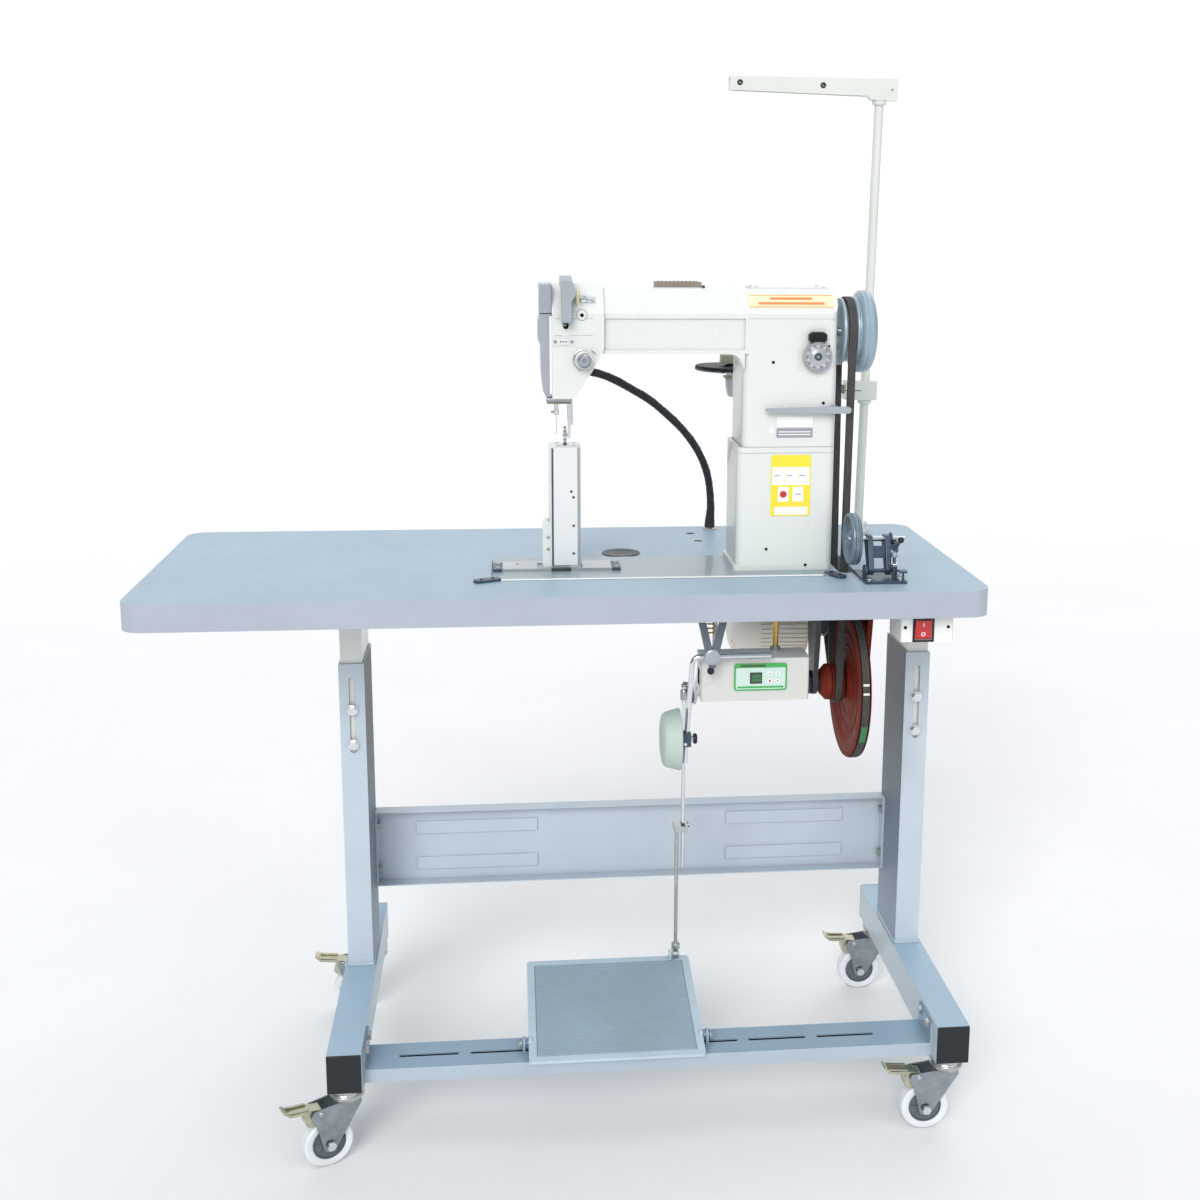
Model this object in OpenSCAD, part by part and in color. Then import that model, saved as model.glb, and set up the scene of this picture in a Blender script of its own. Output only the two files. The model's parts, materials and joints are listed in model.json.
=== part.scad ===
// Industrial post-bed sewing machine on a wheeled, height-adjustable stand.
// Frame: origin on the floor under the middle of the tabletop.
// +X is the operator's right, +Y points away from the operator, +Z is up. Millimetres.

/* [Tabletop] */
// Width of the tabletop, left to right
table_w = 1220; // [1100:10:1300]
// Depth of the tabletop, front to back
table_d = 508; // [480:2:516]
// Thickness of the tabletop
table_t = 40; // [30:1:42]
// Height of the working surface above the floor
table_h = 860; // [850:1:880]
// Radius of the tabletop corners
table_corner_r = 30; // [10:1:60]

/* [Stand] */
// Distance between the centres of the two legs
leg_span = 910; // [880:5:930]
// Sideways shift of the stand from the middle of the table
stand_shift = 126; // [110:1:130]
// Width of a leg, seen from the front
leg_w = 40; // [38:1:46]
// Depth of a leg, front to back
leg_d = 126; // [110:1:140]
// Top of the outer leg above the floor
leg_top = 691; // [680:1:720]
// Width of a foot bar
foot_w = 50; // [46:1:60]
// Height of a foot bar
foot_h = 60; // [50:1:70]
// Length of a foot bar with its end caps
foot_l = 520; // [518:1:540]
// Wall thickness of the stand's steel tube
tube_wall = 2.5; // [2:0.25:3]
// Height range of the tabletop above its lowest setting
lift_travel = 40; // [10:1:40]

/* [Casters] */
// Height from the floor to the underside of the foot bar
caster_h = 122; // [120:1:124]
// Diameter of a caster wheel
wheel_d = 75; // [70:1:76]
// Width of a caster wheel
wheel_w = 24; // [20:1:24]
// Sideways distance from the swivel axis to the wheel axle
caster_trail = 33; // [30:1:36]
// Distance from the end of the foot bar to the swivel axis
caster_inset = 35; // [30:1:60]
// Resting angle of the front left caster about its swivel axis
caster_turn = 25; // [-90:5:90]

/* [Machine head] */
// Height of the post and of the riser column above the bed
post_h = 187; // [180:1:190]
// Left face of the column
column_x0 = 257; // [255:1:260]
// Right face of the column
column_x1 = 404; // [402:1:406]
// Front face of the head casting
head_y0 = -112; // [-114:1:-110]
// Rear face of the column
column_y1 = 2; // [0:1:4]
// Sideways position of the needle
needle_x = -8; // [-9:0.5:-7]
// Stroke of the needle bar
needle_stroke = 34; // [28:1:36]

/* [Drive] */
// Radius of the belt groove in the handwheel pulley
hand_pulley_r = 45; // [40:1:46]
// Radius of the belt groove in the countershaft's small pulley
counter_small_r = 26; // [24:1:28]
// Radius of the belt groove in the countershaft's large pulley
counter_large_r = 112; // [100:1:114]
// Radius of the belt groove in the motor pulley
motor_pulley_r = 30; // [25:1:34]
// Thickness of a drive belt
belt_t = 7; // [6:0.5:8]
// Width of a drive belt
belt_w = 11; // [9:0.5:11]

/* [Treadle] */
// Width of the treadle plate
treadle_w = 265; // [240:1:280]
// Depth of the treadle plate
treadle_d = 245; // [220:1:250]
// Slope of the treadle at rest, in degrees
treadle_tilt = 9.3; // [8:0.1:10]

/* [Thread stand] */
// Radius of the thread stand pole
pole_r = 7.5; // [6:0.5:9]
// Lean of the pole to the right, in degrees
pole_lean = 1; // [0:0.25:2]
// Length of the pole above the table
pole_len = 722; // [600:1:730]
// Radius of the spool tray
tray_r = 66; // [50:1:75]

/* [Hidden] */
$fn = 64;
fit = 0.05; // running clearance on a radius
gap = 0.5; // clearance between sliding stand parts
eps = 0.01;

// Colours
c_table = "#aebccb";
c_frame = "#b3c4d6";
c_head = "#e9eae6";
c_grey = "#8b9bac";
c_dark = "#4a5663";
c_black = "#22262b";
c_maroon = "#8a3f2f";
c_cream = "#dcd8c6";
c_zinc = "#c3c6c4";
c_mint = "#c3d4cb";
c_white = "#f2f3f2";

// Stand
stand_x = [stand_shift - leg_span / 2, stand_shift + leg_span / 2];
foot_top = caster_h + foot_h;
foot_y1 = foot_l / 2;
cap_t = 3;
leg_y0 = 24;
leg_y1 = leg_y0 + leg_d;
inner_w = leg_w - 2 * tube_wall - 2 * gap;
inner_y0 = leg_y0 + tube_wall + 1.5;
inner_y1 = leg_y1 - tube_wall - 1.5;
inner_z0 = 430;
under_table = table_h - table_t;
clamp_z = [559, 616];
slot_z0 = clamp_z[0] - 10;
slot_z1 = clamp_z[1] + lift_travel + 9;
slot_w = 9;
span_x0 = stand_x[0] + leg_w / 2;
span_x1 = stand_x[1] - leg_w / 2;
panel_z0 = 273;
panel_z1 = 404;
panel_t = 2;
panel_flange = 26;
bar_x0 = stand_x[0] + foot_w / 2;
bar_x1 = stand_x[1] - foot_w / 2;
bar_y0 = -233;
bar_y1 = -161;
bar_z1 = caster_h + 21;
bar_tab_h = 52;
bar_slots = 7;
bar_slot_pitch = 106;
bar_slot_l = 82;
bar_slot_w = 8;
bar_slot_x0 = bar_x0 + 54;
bolt_r = 4;

// Casters
caster_y = foot_y1 - caster_inset;
wheel_r = wheel_d / 2;
king_r = 6.2;
axle_r = 4;
fork_y = 14;
fork_t = 2.5;
brake_x = -45;
brake_z = 90;
brake_pin_r = 2.5;
brake_shoe = [-59, 79];

// Head
bed_x0 = -105;
bed_x1 = 400;
bed_y0 = -146;
bed_y1 = column_y1;
bed_top = table_h + 2;
bed_plate_t = 8;
bed_wall_in = 8;
bed_depth = 38;
wall = 6;
post_top = bed_top + post_h;
post_x0 = -20;
post_x1 = 27;
post_y0 = -88;
post_y1 = -41;
post_wall = 4;
shaft_y = -66;
shaft_z = 1216;
shaft_r = 7;
arm_y1 = -20;
arm_x0 = 60;
cap_x0 = column_x0 + 7;
arm_z0 = 1186;
head_top = 1279;
ridge_z = 1244;
nose_x0 = -15;
nose_y0 = head_y0 - 5;
nose_top = 1286;
nose_z0 = 1122;
bar_rest_z = post_top + needle_stroke + 17;
needle_bar_r = 3.6;
needle_r = 1;
presser_x = 12;
presser_r = 4.5;
lever_x0 = 2;
lever_x1 = 8;
takeup_y = -90;
takeup_z = 1248;
roller_x0 = 2;
roller_x1 = 7;
roller_r = 13;
feed_r = 14.5;
feed_z = post_top + 0.5 - feed_r;
roller_z = feed_z + feed_r + 0.3 + roller_r;
hook_r = 7.5;
hook_z = post_top - 26;
dial_x = 372;
dial_z = 1183;
knob_x = 30.5;
knob_z = 1178;
reverse_x = 398;
reverse_z = 1105;

// Drive
belt_x = 425;
hand_pulley_x0 = 412;
wheel_x0 = 440;
wheel_x1 = 462;
hand_wheel_r = 61;
counter_y = -64;
counter_z = 672;
counter_r = 8;
counter_x0 = 380;
counter_x1 = 480;
large_x = 447;
motor_y = 95;
motor_z = 738;
motor_r = 66;
motor_x0 = 277;
motor_x1 = 402;
motor_shaft_r = 7;
guard_r = 46;
belt_air = 0.3; // air between a belt and its groove
belt_steps = 48;

// Control box and treadle linkage
box_x0 = 200;
box_x1 = 362;
box_y0 = -170;
box_y1 = -114;
box_z0 = 677;
box_z1 = 742;
pivot_y = -197;
pivot_z = 154;
treadle_x0 = -60;
treadle_x1 = treadle_x0 + treadle_w;
treadle_front = -50;
treadle_t = 5;
joint_arm = 188;
joint_up = 14;
joint_y = pivot_y + joint_arm * cos(treadle_tilt) - joint_up * sin(treadle_tilt);
joint_z = pivot_z + joint_arm * sin(treadle_tilt) + joint_up * cos(treadle_tilt);
rod_r = 3;
low_rod_x = 183;
up_rod_x = 193;
lever_y = -75;
lever_z = 655;
clamp_plate_z = 415;

// Knee lifter
knee_x = 212;
knee_y = -189;
knee_z = 754;
knee_rod_r = 4;
knee_bend_x = 184;
knee_slope = 3.5;
knee_drop = 162;
pad_x = 137;
pad_z = 627;

// Thread stand
pole_x = 513;
pole_y = 190;
pole_hole_r = 8.8;
tray_x = -222; // from the pole
tray_h = 277; // above the table
stand_clamp_h = 242;
stand_arm_h = 726;

// Bobbin winder
winder_x = 424;
winder_y = -157;
winder_z = 918;
winder_r = 38.5;
winder_pivot_y = -176;
winder_pivot_z = 874;

// Openings in the tabletop
belt_slot_x = [413, 439];
belt_slot_y = [-126, 2];
conduit_x = 263;
conduit_y = 232;
conduit_hole_r = 8;
grommet_x = 96;
grommet_y = 37;
grommet_r = 28;
spare_holes = [[225, 190], [230, 126]];
spare_hole_r = 7.5;

// Route of the presser lift cable: from the back of the head to the tabletop
cable_r = 6.7;
cable_pts = [
    [44, -12.5, 1152], [62, -3, 1147], [86, 15, 1136], [114, 40, 1119], [143, 67, 1100], [171, 95, 1076],
    [196, 121, 1052], [219, 147, 1025], [237, 170, 997], [251, 191, 966], [259, 208, 934], [263, 222, 900],
    [263, 232, 868], [263, 232, 812]];

// ---- helpers ----

// Box between two corners
module span(lo, hi) translate(lo) cube(hi - lo);

// Cylinders along each axis between two stations
module along_x(r, x0, x1, y, z) translate([x0, y, z]) rotate([0, 90, 0]) cylinder(r = r, h = x1 - x0);
module along_y(r, y0, y1, x, z) translate([x, y1, z]) rotate([90, 0, 0]) cylinder(r = r, h = y1 - y0);
module along_z(r, z0, z1, x, y) translate([x, y, z0]) cylinder(r = r, h = z1 - z0);

// Rectangle with round corners, centred
module round_rect(w, d, r) {
    square([w - 2 * r, d], center = true);
    square([w, d - 2 * r], center = true);
    for (sx = [-1, 1], sy = [-1, 1])
        translate([sx * (w / 2 - r), sy * (d / 2 - r)]) circle(r = r);
}

// Outline in X and Z, extruded along Y between two stations
module slab_y(y0, y1) translate([0, y1, 0]) rotate([90, 0, 0]) linear_extrude(y1 - y0) children();

// Outline in Y and Z, extruded along X between two stations
module slab_x(x0, x1) translate([x0, 0, 0]) rotate([90, 0, 90]) linear_extrude(x1 - x0) children();

// Block with round upright edges between two corners
module round_block(lo, hi, r) {
    size = hi - lo;
    translate([(lo[0] + hi[0]) / 2, (lo[1] + hi[1]) / 2, lo[2]])
        linear_extrude(size[2]) round_rect(size[0], size[1], r);
}

// Shape turned about the X axis, given as an outline of radius and axial station
module turned_x(x, y, z) translate([x, y, z]) rotate([0, 90, 0]) rotate_extrude() children();

// Hexagon-headed bolt along +X, its head outside the station x
module bolt_x(x, y, z, len, side) translate([x, y, z]) rotate([0, side * 90, 0]) {
    cylinder(r = 7.5, h = 5, $fn = 6);
    translate([0, 0, -len]) cylinder(r = bolt_r, h = len);
}

// ---- stand ----

module side_frame(x) difference() {
    union() {
        span([x - foot_w / 2, -foot_y1 + cap_t, caster_h], [x + foot_w / 2, foot_y1 - cap_t, foot_top]);
        span([x - leg_w / 2, leg_y0, foot_top - eps], [x + leg_w / 2, leg_y1, leg_top]);
        for (y = [-caster_y, caster_y]) king_pin(x, y);
    }
    span([x - foot_w / 2 + tube_wall, -foot_y1, caster_h + tube_wall],
        [x + foot_w / 2 - tube_wall, foot_y1, foot_top - tube_wall]);
    span([x - leg_w / 2 + tube_wall, leg_y0 + tube_wall, foot_top + tube_wall],
        [x + leg_w / 2 - tube_wall, leg_y1 - tube_wall, leg_top + 1]);
    slab_y(leg_y0 - 1, leg_y0 + tube_wall + 1) {
        translate([x - slot_w / 2, slot_z0]) square([slot_w, slot_z1 - slot_z0]);
        for (z = [slot_z0, slot_z1]) translate([x, z]) circle(r = slot_w / 2);
    }
    for (y = [bar_y0 + 16, bar_y1 - 16])
        along_x(bolt_r + 0.2, bar_x0 - 3, bar_x0 + 1, y, foot_top - 14);
    for (y = [bar_y0 + 16, bar_y1 - 16])
        along_x(bolt_r + 0.2, bar_x1 - 1, bar_x1 + 3, y, foot_top - 14);
    for (z = [panel_z0 + 26, panel_z1 - 26]) {
        along_x(bolt_r + 0.2, span_x0 - 3, span_x0 + 1, leg_y1 - 13, z);
        along_x(bolt_r + 0.2, span_x1 - 1, span_x1 + 3, leg_y1 - 13, z);
    }
}

// Fixed stud and retaining head that a caster swivels on
module king_pin(x, y) {
    along_z(king_r, caster_h - 14, caster_h + tube_wall, x, y);
    along_z(11, caster_h - 17, caster_h - 13.5, x, y);
}

module side_frames() color(c_frame) for (x = stand_x) side_frame(x);

module foot_caps() color(c_black) for (x = stand_x, s = [-1, 1])
    translate([x, 0, 0]) scale([1, s, 1]) foot_cap();

module foot_cap() {
    span([-foot_w / 2, foot_y1 - cap_t, caster_h], [foot_w / 2, foot_y1, foot_top]);
    difference() {
        span([-foot_w / 2 + 3, foot_y1 - 22, caster_h + 3], [foot_w / 2 - 3, foot_y1 - cap_t, foot_top - 3]);
        span([-foot_w / 2 + 6, foot_y1 - 23, caster_h + 6], [foot_w / 2 - 6, foot_y1 - 5, foot_top - 6]);
    }
}

module back_panel() color(c_frame) difference() {
    union() {
        span([span_x0, leg_y1 - panel_t, panel_z0], [span_x1, leg_y1, panel_z1]);
        for (z = [panel_z0, panel_z1 - panel_t])
            span([span_x0, leg_y1 - panel_flange, z], [span_x1, leg_y1 - panel_t + eps, z + panel_t]);
        for (x = [span_x0, span_x1 - 3])
            span([x, leg_y1 - panel_flange, panel_z0], [x + 3, leg_y1 - panel_t + eps, panel_z1]);
        for (x = [span_x0 + 67, span_x1 - 274], z = [292, 356])
            span([x, leg_y1 - 5, z], [x + 204, leg_y1 - panel_t + eps, z + 22]);
    }
    for (z = [panel_z0 + 26, panel_z1 - 26])
        along_x(bolt_r + 0.2, span_x0 - 1, span_x1 + 1, leg_y1 - 13, z);
}

module treadle_crossbar() color(c_frame) difference() {
    union() {
        difference() {
            span([bar_x0, bar_y0, caster_h], [bar_x1, bar_y1, bar_z1]);
            span([bar_x0 + 3, bar_y0 + tube_wall, caster_h - 1],
                [bar_x1 - 3, bar_y1 - tube_wall, bar_z1 - tube_wall]);
        }
        for (x = [bar_x0, bar_x1 - 3]) span([x, bar_y0, caster_h], [x + 3, bar_y1, caster_h + bar_tab_h]);
        for (x = [treadle_x0 - 9, treadle_x1 + 5]) slab_x(x, x + 4) {
            translate([pivot_y, pivot_z]) circle(r = 10);
            translate([pivot_y - 10, bar_z1 - 1]) square([20, pivot_z - bar_z1 + 1]);
        }
        along_x(4, treadle_x0 - 12, treadle_x0 + 8, pivot_y, pivot_z);
        along_x(4, treadle_x1 - 8, treadle_x1 + 12, pivot_y, pivot_z);
    }
    for (i = [0 : bar_slots - 1]) translate([bar_slot_x0 + i * bar_slot_pitch, -197, bar_z1 - 4])
        linear_extrude(6) {
            translate([0, -bar_slot_w / 2]) square([bar_slot_l, bar_slot_w]);
            for (x = [0, bar_slot_l]) translate([x, 0]) circle(r = bar_slot_w / 2);
        }
    for (y = [bar_y0 + 16, bar_y1 - 16])
        along_x(bolt_r + 0.2, bar_x0 - 1, bar_x0 + 4, y, foot_top - 14);
    for (y = [bar_y0 + 16, bar_y1 - 16])
        along_x(bolt_r + 0.2, bar_x1 - 4, bar_x1 + 1, y, foot_top - 14);
}

module stand_bolts() color(c_zinc) {
    for (y = [bar_y0 + 16, bar_y1 - 16]) {
        bolt_x(bar_x0 + 3, y, foot_top - 14, 10, 1);
        bolt_x(bar_x1 - 3, y, foot_top - 14, 10, -1);
    }
    for (z = [panel_z0 + 26, panel_z1 - 26]) {
        bolt_x(span_x0 + 3, leg_y1 - 13, z, 10, 1);
        bolt_x(span_x1 - 3, leg_y1 - 13, z, 10, -1);
    }
}

// ---- casters ----

module at_caster(i) translate([stand_x[i % 2], (i < 2 ? -1 : 1) * caster_y, 0])
    rotate([0, 0, i == 0 ? caster_turn : 0]) children();

module caster_fork(i) at_caster(i) color(c_zinc) {
    difference() {
        union() {
            along_z(26, caster_h - 13, caster_h - 0.5, 0, 0);
            along_z(24, caster_h - 24, caster_h - 13 + eps, 0, 0);
            span([-60, -fork_y - fork_t, caster_h - 17], [0, fork_y + fork_t, caster_h - 13 + eps]);
            along_z(fork_y + fork_t, caster_h - 17, caster_h - 13 + eps, 0, 0);
            for (y = [-fork_y - fork_t, fork_y]) slab_y(y, y + fork_t) fork_side();
        }
        along_z(king_r + fit, 0, caster_h + 1, 0, 0);
        along_z(11.5, caster_h - 30, caster_h - 13 + 0.2, 0, 0);
        span([-61, -fork_y + 1, caster_h - 18], [-22, fork_y - 1, caster_h - 12]);
        along_y(brake_pin_r + fit, -20, 20, brake_x, brake_z);
    }
    along_y(axle_r, -fork_y - fork_t - 3, fork_y + fork_t + 3, -caster_trail, wheel_r);
}

module fork_side() {
    polygon([[-62, 92], [-60, caster_h - 17 + eps], [14, caster_h - 17 + eps], [15, 96],
        [-caster_trail + 9, 32], [-caster_trail - 9, 32], [-50, 62]]);
    translate([-caster_trail, wheel_r]) circle(r = 11);
}

module caster_wheel(i) at_caster(i) color(c_white)
    translate([-caster_trail, wheel_w / 2, wheel_r]) rotate([90, 0, 0]) rotate_extrude($fn = 96) polygon([
        [axle_r + 0.1, 0], [wheel_r - 14, 0], [wheel_r - 12, 3], [wheel_r - 9, 3], [wheel_r - 8, 0],
        [wheel_r - 2, 0], [wheel_r, 3], [wheel_r, wheel_w - 3], [wheel_r - 2, wheel_w],
        [wheel_r - 8, wheel_w], [wheel_r - 9, wheel_w - 3], [wheel_r - 12, wheel_w - 3],
        [wheel_r - 14, wheel_w], [axle_r + 0.1, wheel_w]]);

module caster_brake(i) at_caster(i) color(c_zinc) {
    slab_y(-11, 11) {
        polygon([[-46, 86], [-45, 95], [-64, 98], [-88, 99], [-98, 106], [-100, 104], [-90, 95], [-64, 93]]);
        translate([brake_x, brake_z]) circle(r = 5.5);
        translate(brake_shoe) circle(r = 8.4);
        polygon([[-46, 86], [-45, 94], [-62, 96], [-66, 82], [-55, 76]]);
    }
    along_y(brake_pin_r, -fork_y - 1.5, fork_y + 1.5, brake_x, brake_z);
}

// ---- table ----

module tabletop() color(c_table) difference() {
    translate([0, 0, under_table]) linear_extrude(table_t) round_rect(table_w, table_d, table_corner_r);
    round_block([bed_x0 - 1, bed_y0 - 1, table_h - bed_plate_t + 2],
        [bed_x1 + 1, bed_y1 + 1, table_h + 1], 8);
    round_block([bed_x0 + bed_wall_in - 1, bed_y0 + bed_wall_in - 1, under_table - 1],
        [bed_x1 - bed_wall_in + 1, bed_y1 - bed_wall_in + 1, table_h], 6);
    round_block([belt_slot_x[0], belt_slot_y[0], under_table - 1],
        [belt_slot_x[1], belt_slot_y[1], table_h + 1], 8);
    along_z(conduit_hole_r, under_table - 1, table_h + 1, conduit_x, conduit_y);
    along_z(grommet_r, under_table - 1, table_h + 1, grommet_x, grommet_y);
    along_z(pole_hole_r, under_table - 1, table_h + 1, pole_x, pole_y);
    for (p = spare_holes) along_z(spare_hole_r, under_table - 1, table_h + 1, p[0], p[1]);
}

module inner_legs() color(c_frame) for (x = stand_x) {
    difference() {
        union() {
            span([x - inner_w / 2, inner_y0, inner_z0], [x + inner_w / 2, inner_y1, under_table - 5 + eps]);
            span([x - 30, leg_y0 - 70, under_table - 5], [x + 30, leg_y1 + 50, under_table]);
            for (y = [inner_y0 - 30, inner_y1 - eps]) slab_y(y, y + 30 + eps)
                translate([x - 2, under_table - 35]) square([4, 31]);
        }
        span([x - inner_w / 2 + tube_wall, inner_y0 + tube_wall, inner_z0 - 1],
            [x + inner_w / 2 - tube_wall, inner_y1 - tube_wall, under_table - 5]);
        for (z = clamp_z) along_y(bolt_r, inner_y0 - 1, inner_y0 + tube_wall + 1, x, z);
        for (y = [leg_y0 - 55, leg_y1 + 35]) along_z(3.5, under_table - 6, under_table + 1, x, y);
    }
    for (z = clamp_z) {
        along_y(bolt_r, leg_y0 - 1, inner_y0 + tube_wall + 8, x, z);
        along_y(9, leg_y0 - 2.3, leg_y0 - 0.3, x, z);
        translate([x, leg_y0 - 2.3 + eps, z]) rotate([90, 0, 0]) cylinder(r = 7.5, h = 5.5, $fn = 6);
    }
}

// ---- machine head ----

module machine_bed() color(c_head) difference() {
    union() {
        round_block([bed_x0, bed_y0, bed_top - bed_plate_t], [bed_x1, bed_y1, bed_top], 7);
        round_block([bed_x0 + bed_wall_in, bed_y0 + bed_wall_in, bed_top - bed_depth],
            [bed_x1 - bed_wall_in, bed_y1 - bed_wall_in, bed_top - 1], 5);
    }
    round_block([bed_x0 + bed_wall_in + 6, bed_y0 + bed_wall_in + 6, bed_top - bed_depth - 1],
        [bed_x1 - bed_wall_in - 6, bed_y1 - bed_wall_in - 6, bed_top - bed_plate_t], 3);
    round_block([post_x0 + post_wall, post_y0 + post_wall, bed_top - bed_plate_t - 1],
        [post_x1 - post_wall, post_y1 - post_wall, bed_top + 1], 3);
    round_block([column_x0 + 20, head_y0 + 20, bed_top - bed_plate_t - 1],
        [column_x1 - 24, column_y1 - 20, bed_top + 1], 6);
}

module riser_column() color(c_head) difference() {
    union() {
        round_block([column_x0, head_y0, bed_top], [column_x1, column_y1, post_top], 12);
        round_block([column_x0 - 4, head_y0, bed_top], [column_x0 + 30, column_y1, bed_top + 9], 9);
    }
    round_block([column_x0 + wall, head_y0 + wall, bed_top - 1],
        [column_x1 - wall, column_y1 - wall, post_top + 1], 8);
}

// Section of the arm and of the column's cap, in Y and Z
module arm_section(y1, z0, in) polygon([
    [head_y0 + in, z0 + in], [head_y0 + in, ridge_z - in / 2], [head_y0 + 28 + in / 2, head_top - in],
    [y1 - 14 - in / 2, head_top - in], [y1 - in, head_top - 14 - in / 2], [y1 - in, z0 + in]]);

// Block that holds the needle and presser bars, open to the left, shrunk by a wall thickness
module nose_block(in) intersection() {
    slab_y(nose_y0 + in, arm_y1 - in) polygon([[nose_x0 - in, nose_z0 + in], [18 - in / 2, nose_z0 + in],
        [52 - in, 1176], [arm_x0 - in, 1193], [arm_x0 - in, nose_top - in], [nose_x0 - in, nose_top - in]]);
    slab_x(nose_x0 - in - 1, arm_x0 + 1) polygon([[nose_y0, nose_z0], [nose_y0, ridge_z - in / 2],
        [head_y0 + 28 + in / 2, nose_top - in], [arm_y1, nose_top - in], [arm_y1, nose_z0]]);
}

module arm_casting() color(c_head) difference() {
    union() {
        slab_x(arm_x0 - 1, column_x0 + 40) arm_section(arm_y1, arm_z0, 0);
        intersection() {
            slab_x(cap_x0, column_x1) arm_section(column_y1, post_top, 0);
            round_block([cap_x0, head_y0, post_top], [column_x1, column_y1, head_top + 1], 12);
        }
        slab_y(head_y0, arm_y1) difference() {
            translate([cap_x0 - 22, arm_z0 - 22]) square([24, 24]);
            translate([cap_x0 - 22, arm_z0 - 22]) circle(r = 22);
        }
        nose_block(0);
    }
    slab_x(arm_x0 + 6, column_x0 + 20) arm_section(arm_y1, arm_z0, wall);
    slab_x(cap_x0 + wall, column_x1 - wall) arm_section(column_y1, post_top + 14, wall);
    round_block([cap_x0 + wall, head_y0 + wall, post_top - 1],
        [column_x1 - wall, column_y1 - wall, ridge_z - 20], 8);
    nose_block(wall);
    span([arm_x0, head_y0 - 1, arm_z0 + 6], [cap_x0 + 2, head_y0 + 2.5, ridge_z - 7]);
    along_x(shaft_r + fit, arm_x0 - 10, column_x1 + 1, shaft_y, shaft_z);
    along_z(needle_bar_r + fit, nose_z0 - 1, nose_z0 + wall + 1, needle_x, shaft_y);
    along_z(presser_r + fit, nose_z0 - 1, nose_z0 + wall + 8, presser_x, shaft_y);
    slab_y(nose_y0 - 1, takeup_y) {
        translate([1, 1226]) square([8, 48]);
        translate([5, 1226]) circle(r = 4);
    }
    along_y(3.05, nose_y0 - 1, nose_y0 + wall + 1, knob_x, knob_z);
    along_y(3.05, head_y0 - 1, head_y0 + wall + 1, dial_x, dial_z);
    along_y(3.05, head_y0 - 1, head_y0 + wall + 1, reverse_x, reverse_z);
}

// Boss inside the nose that carries the take-up lever's pin
module takeup_boss() color(c_head) intersection() {
    nose_block(1);
    union() {
        span([11, nose_y0, takeup_z - 12], [15, takeup_y, takeup_z + 8]);
        along_x(8, 11, 15, takeup_y, takeup_z);
        along_x(3, -1, 11 + eps, takeup_y, takeup_z);
    }
}

module face_cover() color(c_grey) difference() {
    slab_y(head_y0, arm_y1) polygon([[nose_x0, 1124], [nose_x0, nose_top], [-33, nose_top], [-33, 1238],
        [-35, 1233], [-35, 1206], [-31, 1198], [-31, 1160], [-28, 1132], [-24, 1124]]);
    slab_y(head_y0 + 4, arm_y1 - 4) polygon([[nose_x0 + 1, 1129], [nose_x0 + 1, nose_top - 4],
        [-29, nose_top - 4], [-29, 1200], [-27, 1196], [-27, 1160], [-24, 1134], [-22, 1129]]);
}

// Cover over the take-up lever: a narrow shell, open behind and below
module takeup_guard() color(c_grey) difference() {
    intersection() {
        slab_y(-138, -96) polygon([[-1.5, 1230], [12.5, 1230], [12.5, 1262], [18.5, 1271], [18.5, 1275],
            [14, 1291], [12.5, 1298], [-4, 1298], [-4, 1284], [-1.5, 1282]]);
        slab_x(-5, 20) polygon([[-138, 1234], [-134, 1230], [nose_y0, 1230], [nose_y0, ridge_z],
            [-96, 1270.7], [-96, 1291], [-103, 1298], [-131, 1298], [-138, 1291]]);
    }
    slab_x(0.8, 10) polygon([
        [-135.5, 1229], [-95, 1229], [-95, 1288], [-105, 1295], [-129, 1295], [-135.5, 1289]]);
}

module post_body() color(c_head) difference() {
    union() {
        round_block([post_x0, post_y0, bed_top], [post_x1, post_y1, post_top], 4);
        slab_y(post_y0 + 2, post_y1 - 12) {
            translate([-30, bed_top]) square([12, 68]);
            translate([-24, bed_top + 68]) circle(r = 6);
        }
    }
    span([post_x0 + post_wall, post_y0 + post_wall, bed_top - 1],
        [post_x1 - post_wall, post_y1 - post_wall, post_top - 3]);
    span([post_x0 + post_wall + 4, post_y0 - 1, bed_top + 12],
        [post_x1 - post_wall - 4, post_y0 + post_wall + 1, post_top - 12]);
    along_z(2, post_top - 4, post_top + 1, needle_x, shaft_y);
    span([roller_x0 - 0.8, shaft_y - 12, post_top - 4], [roller_x1 + 0.8, shaft_y + 12, post_top + 1]);
    along_x(3 + fit, post_x1 - post_wall - 1, post_x1 + 1, shaft_y, feed_z);
    along_y(4 + fit, post_y1 - post_wall - 1, post_y1 + 1, needle_x, hook_z);
}

module post_cover() color(c_white) difference() {
    span([post_x0 + 7, post_y0 - 3, bed_top + 8], [post_x1 - 5, post_y0, post_top - 2]);
    for (z = [888, 930, 973]) along_y(1.6, post_y0 - 4, post_y0 + 1, 16, z);
    along_y(2, post_y0 - 4, post_y0 + 1, 12.8, 981.6);
}

// ---- moving parts of the head ----

module main_shaft() color(c_zinc) {
    along_x(shaft_r, 4, wheel_x1 - 4, shaft_y, shaft_z);
    along_x(21, -1, 8, shaft_y, shaft_z);
    along_x(3.5, -3.2, 0, shaft_y, shaft_z + 15);
    along_x(18, 300, 312, shaft_y, shaft_z);
}

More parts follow.
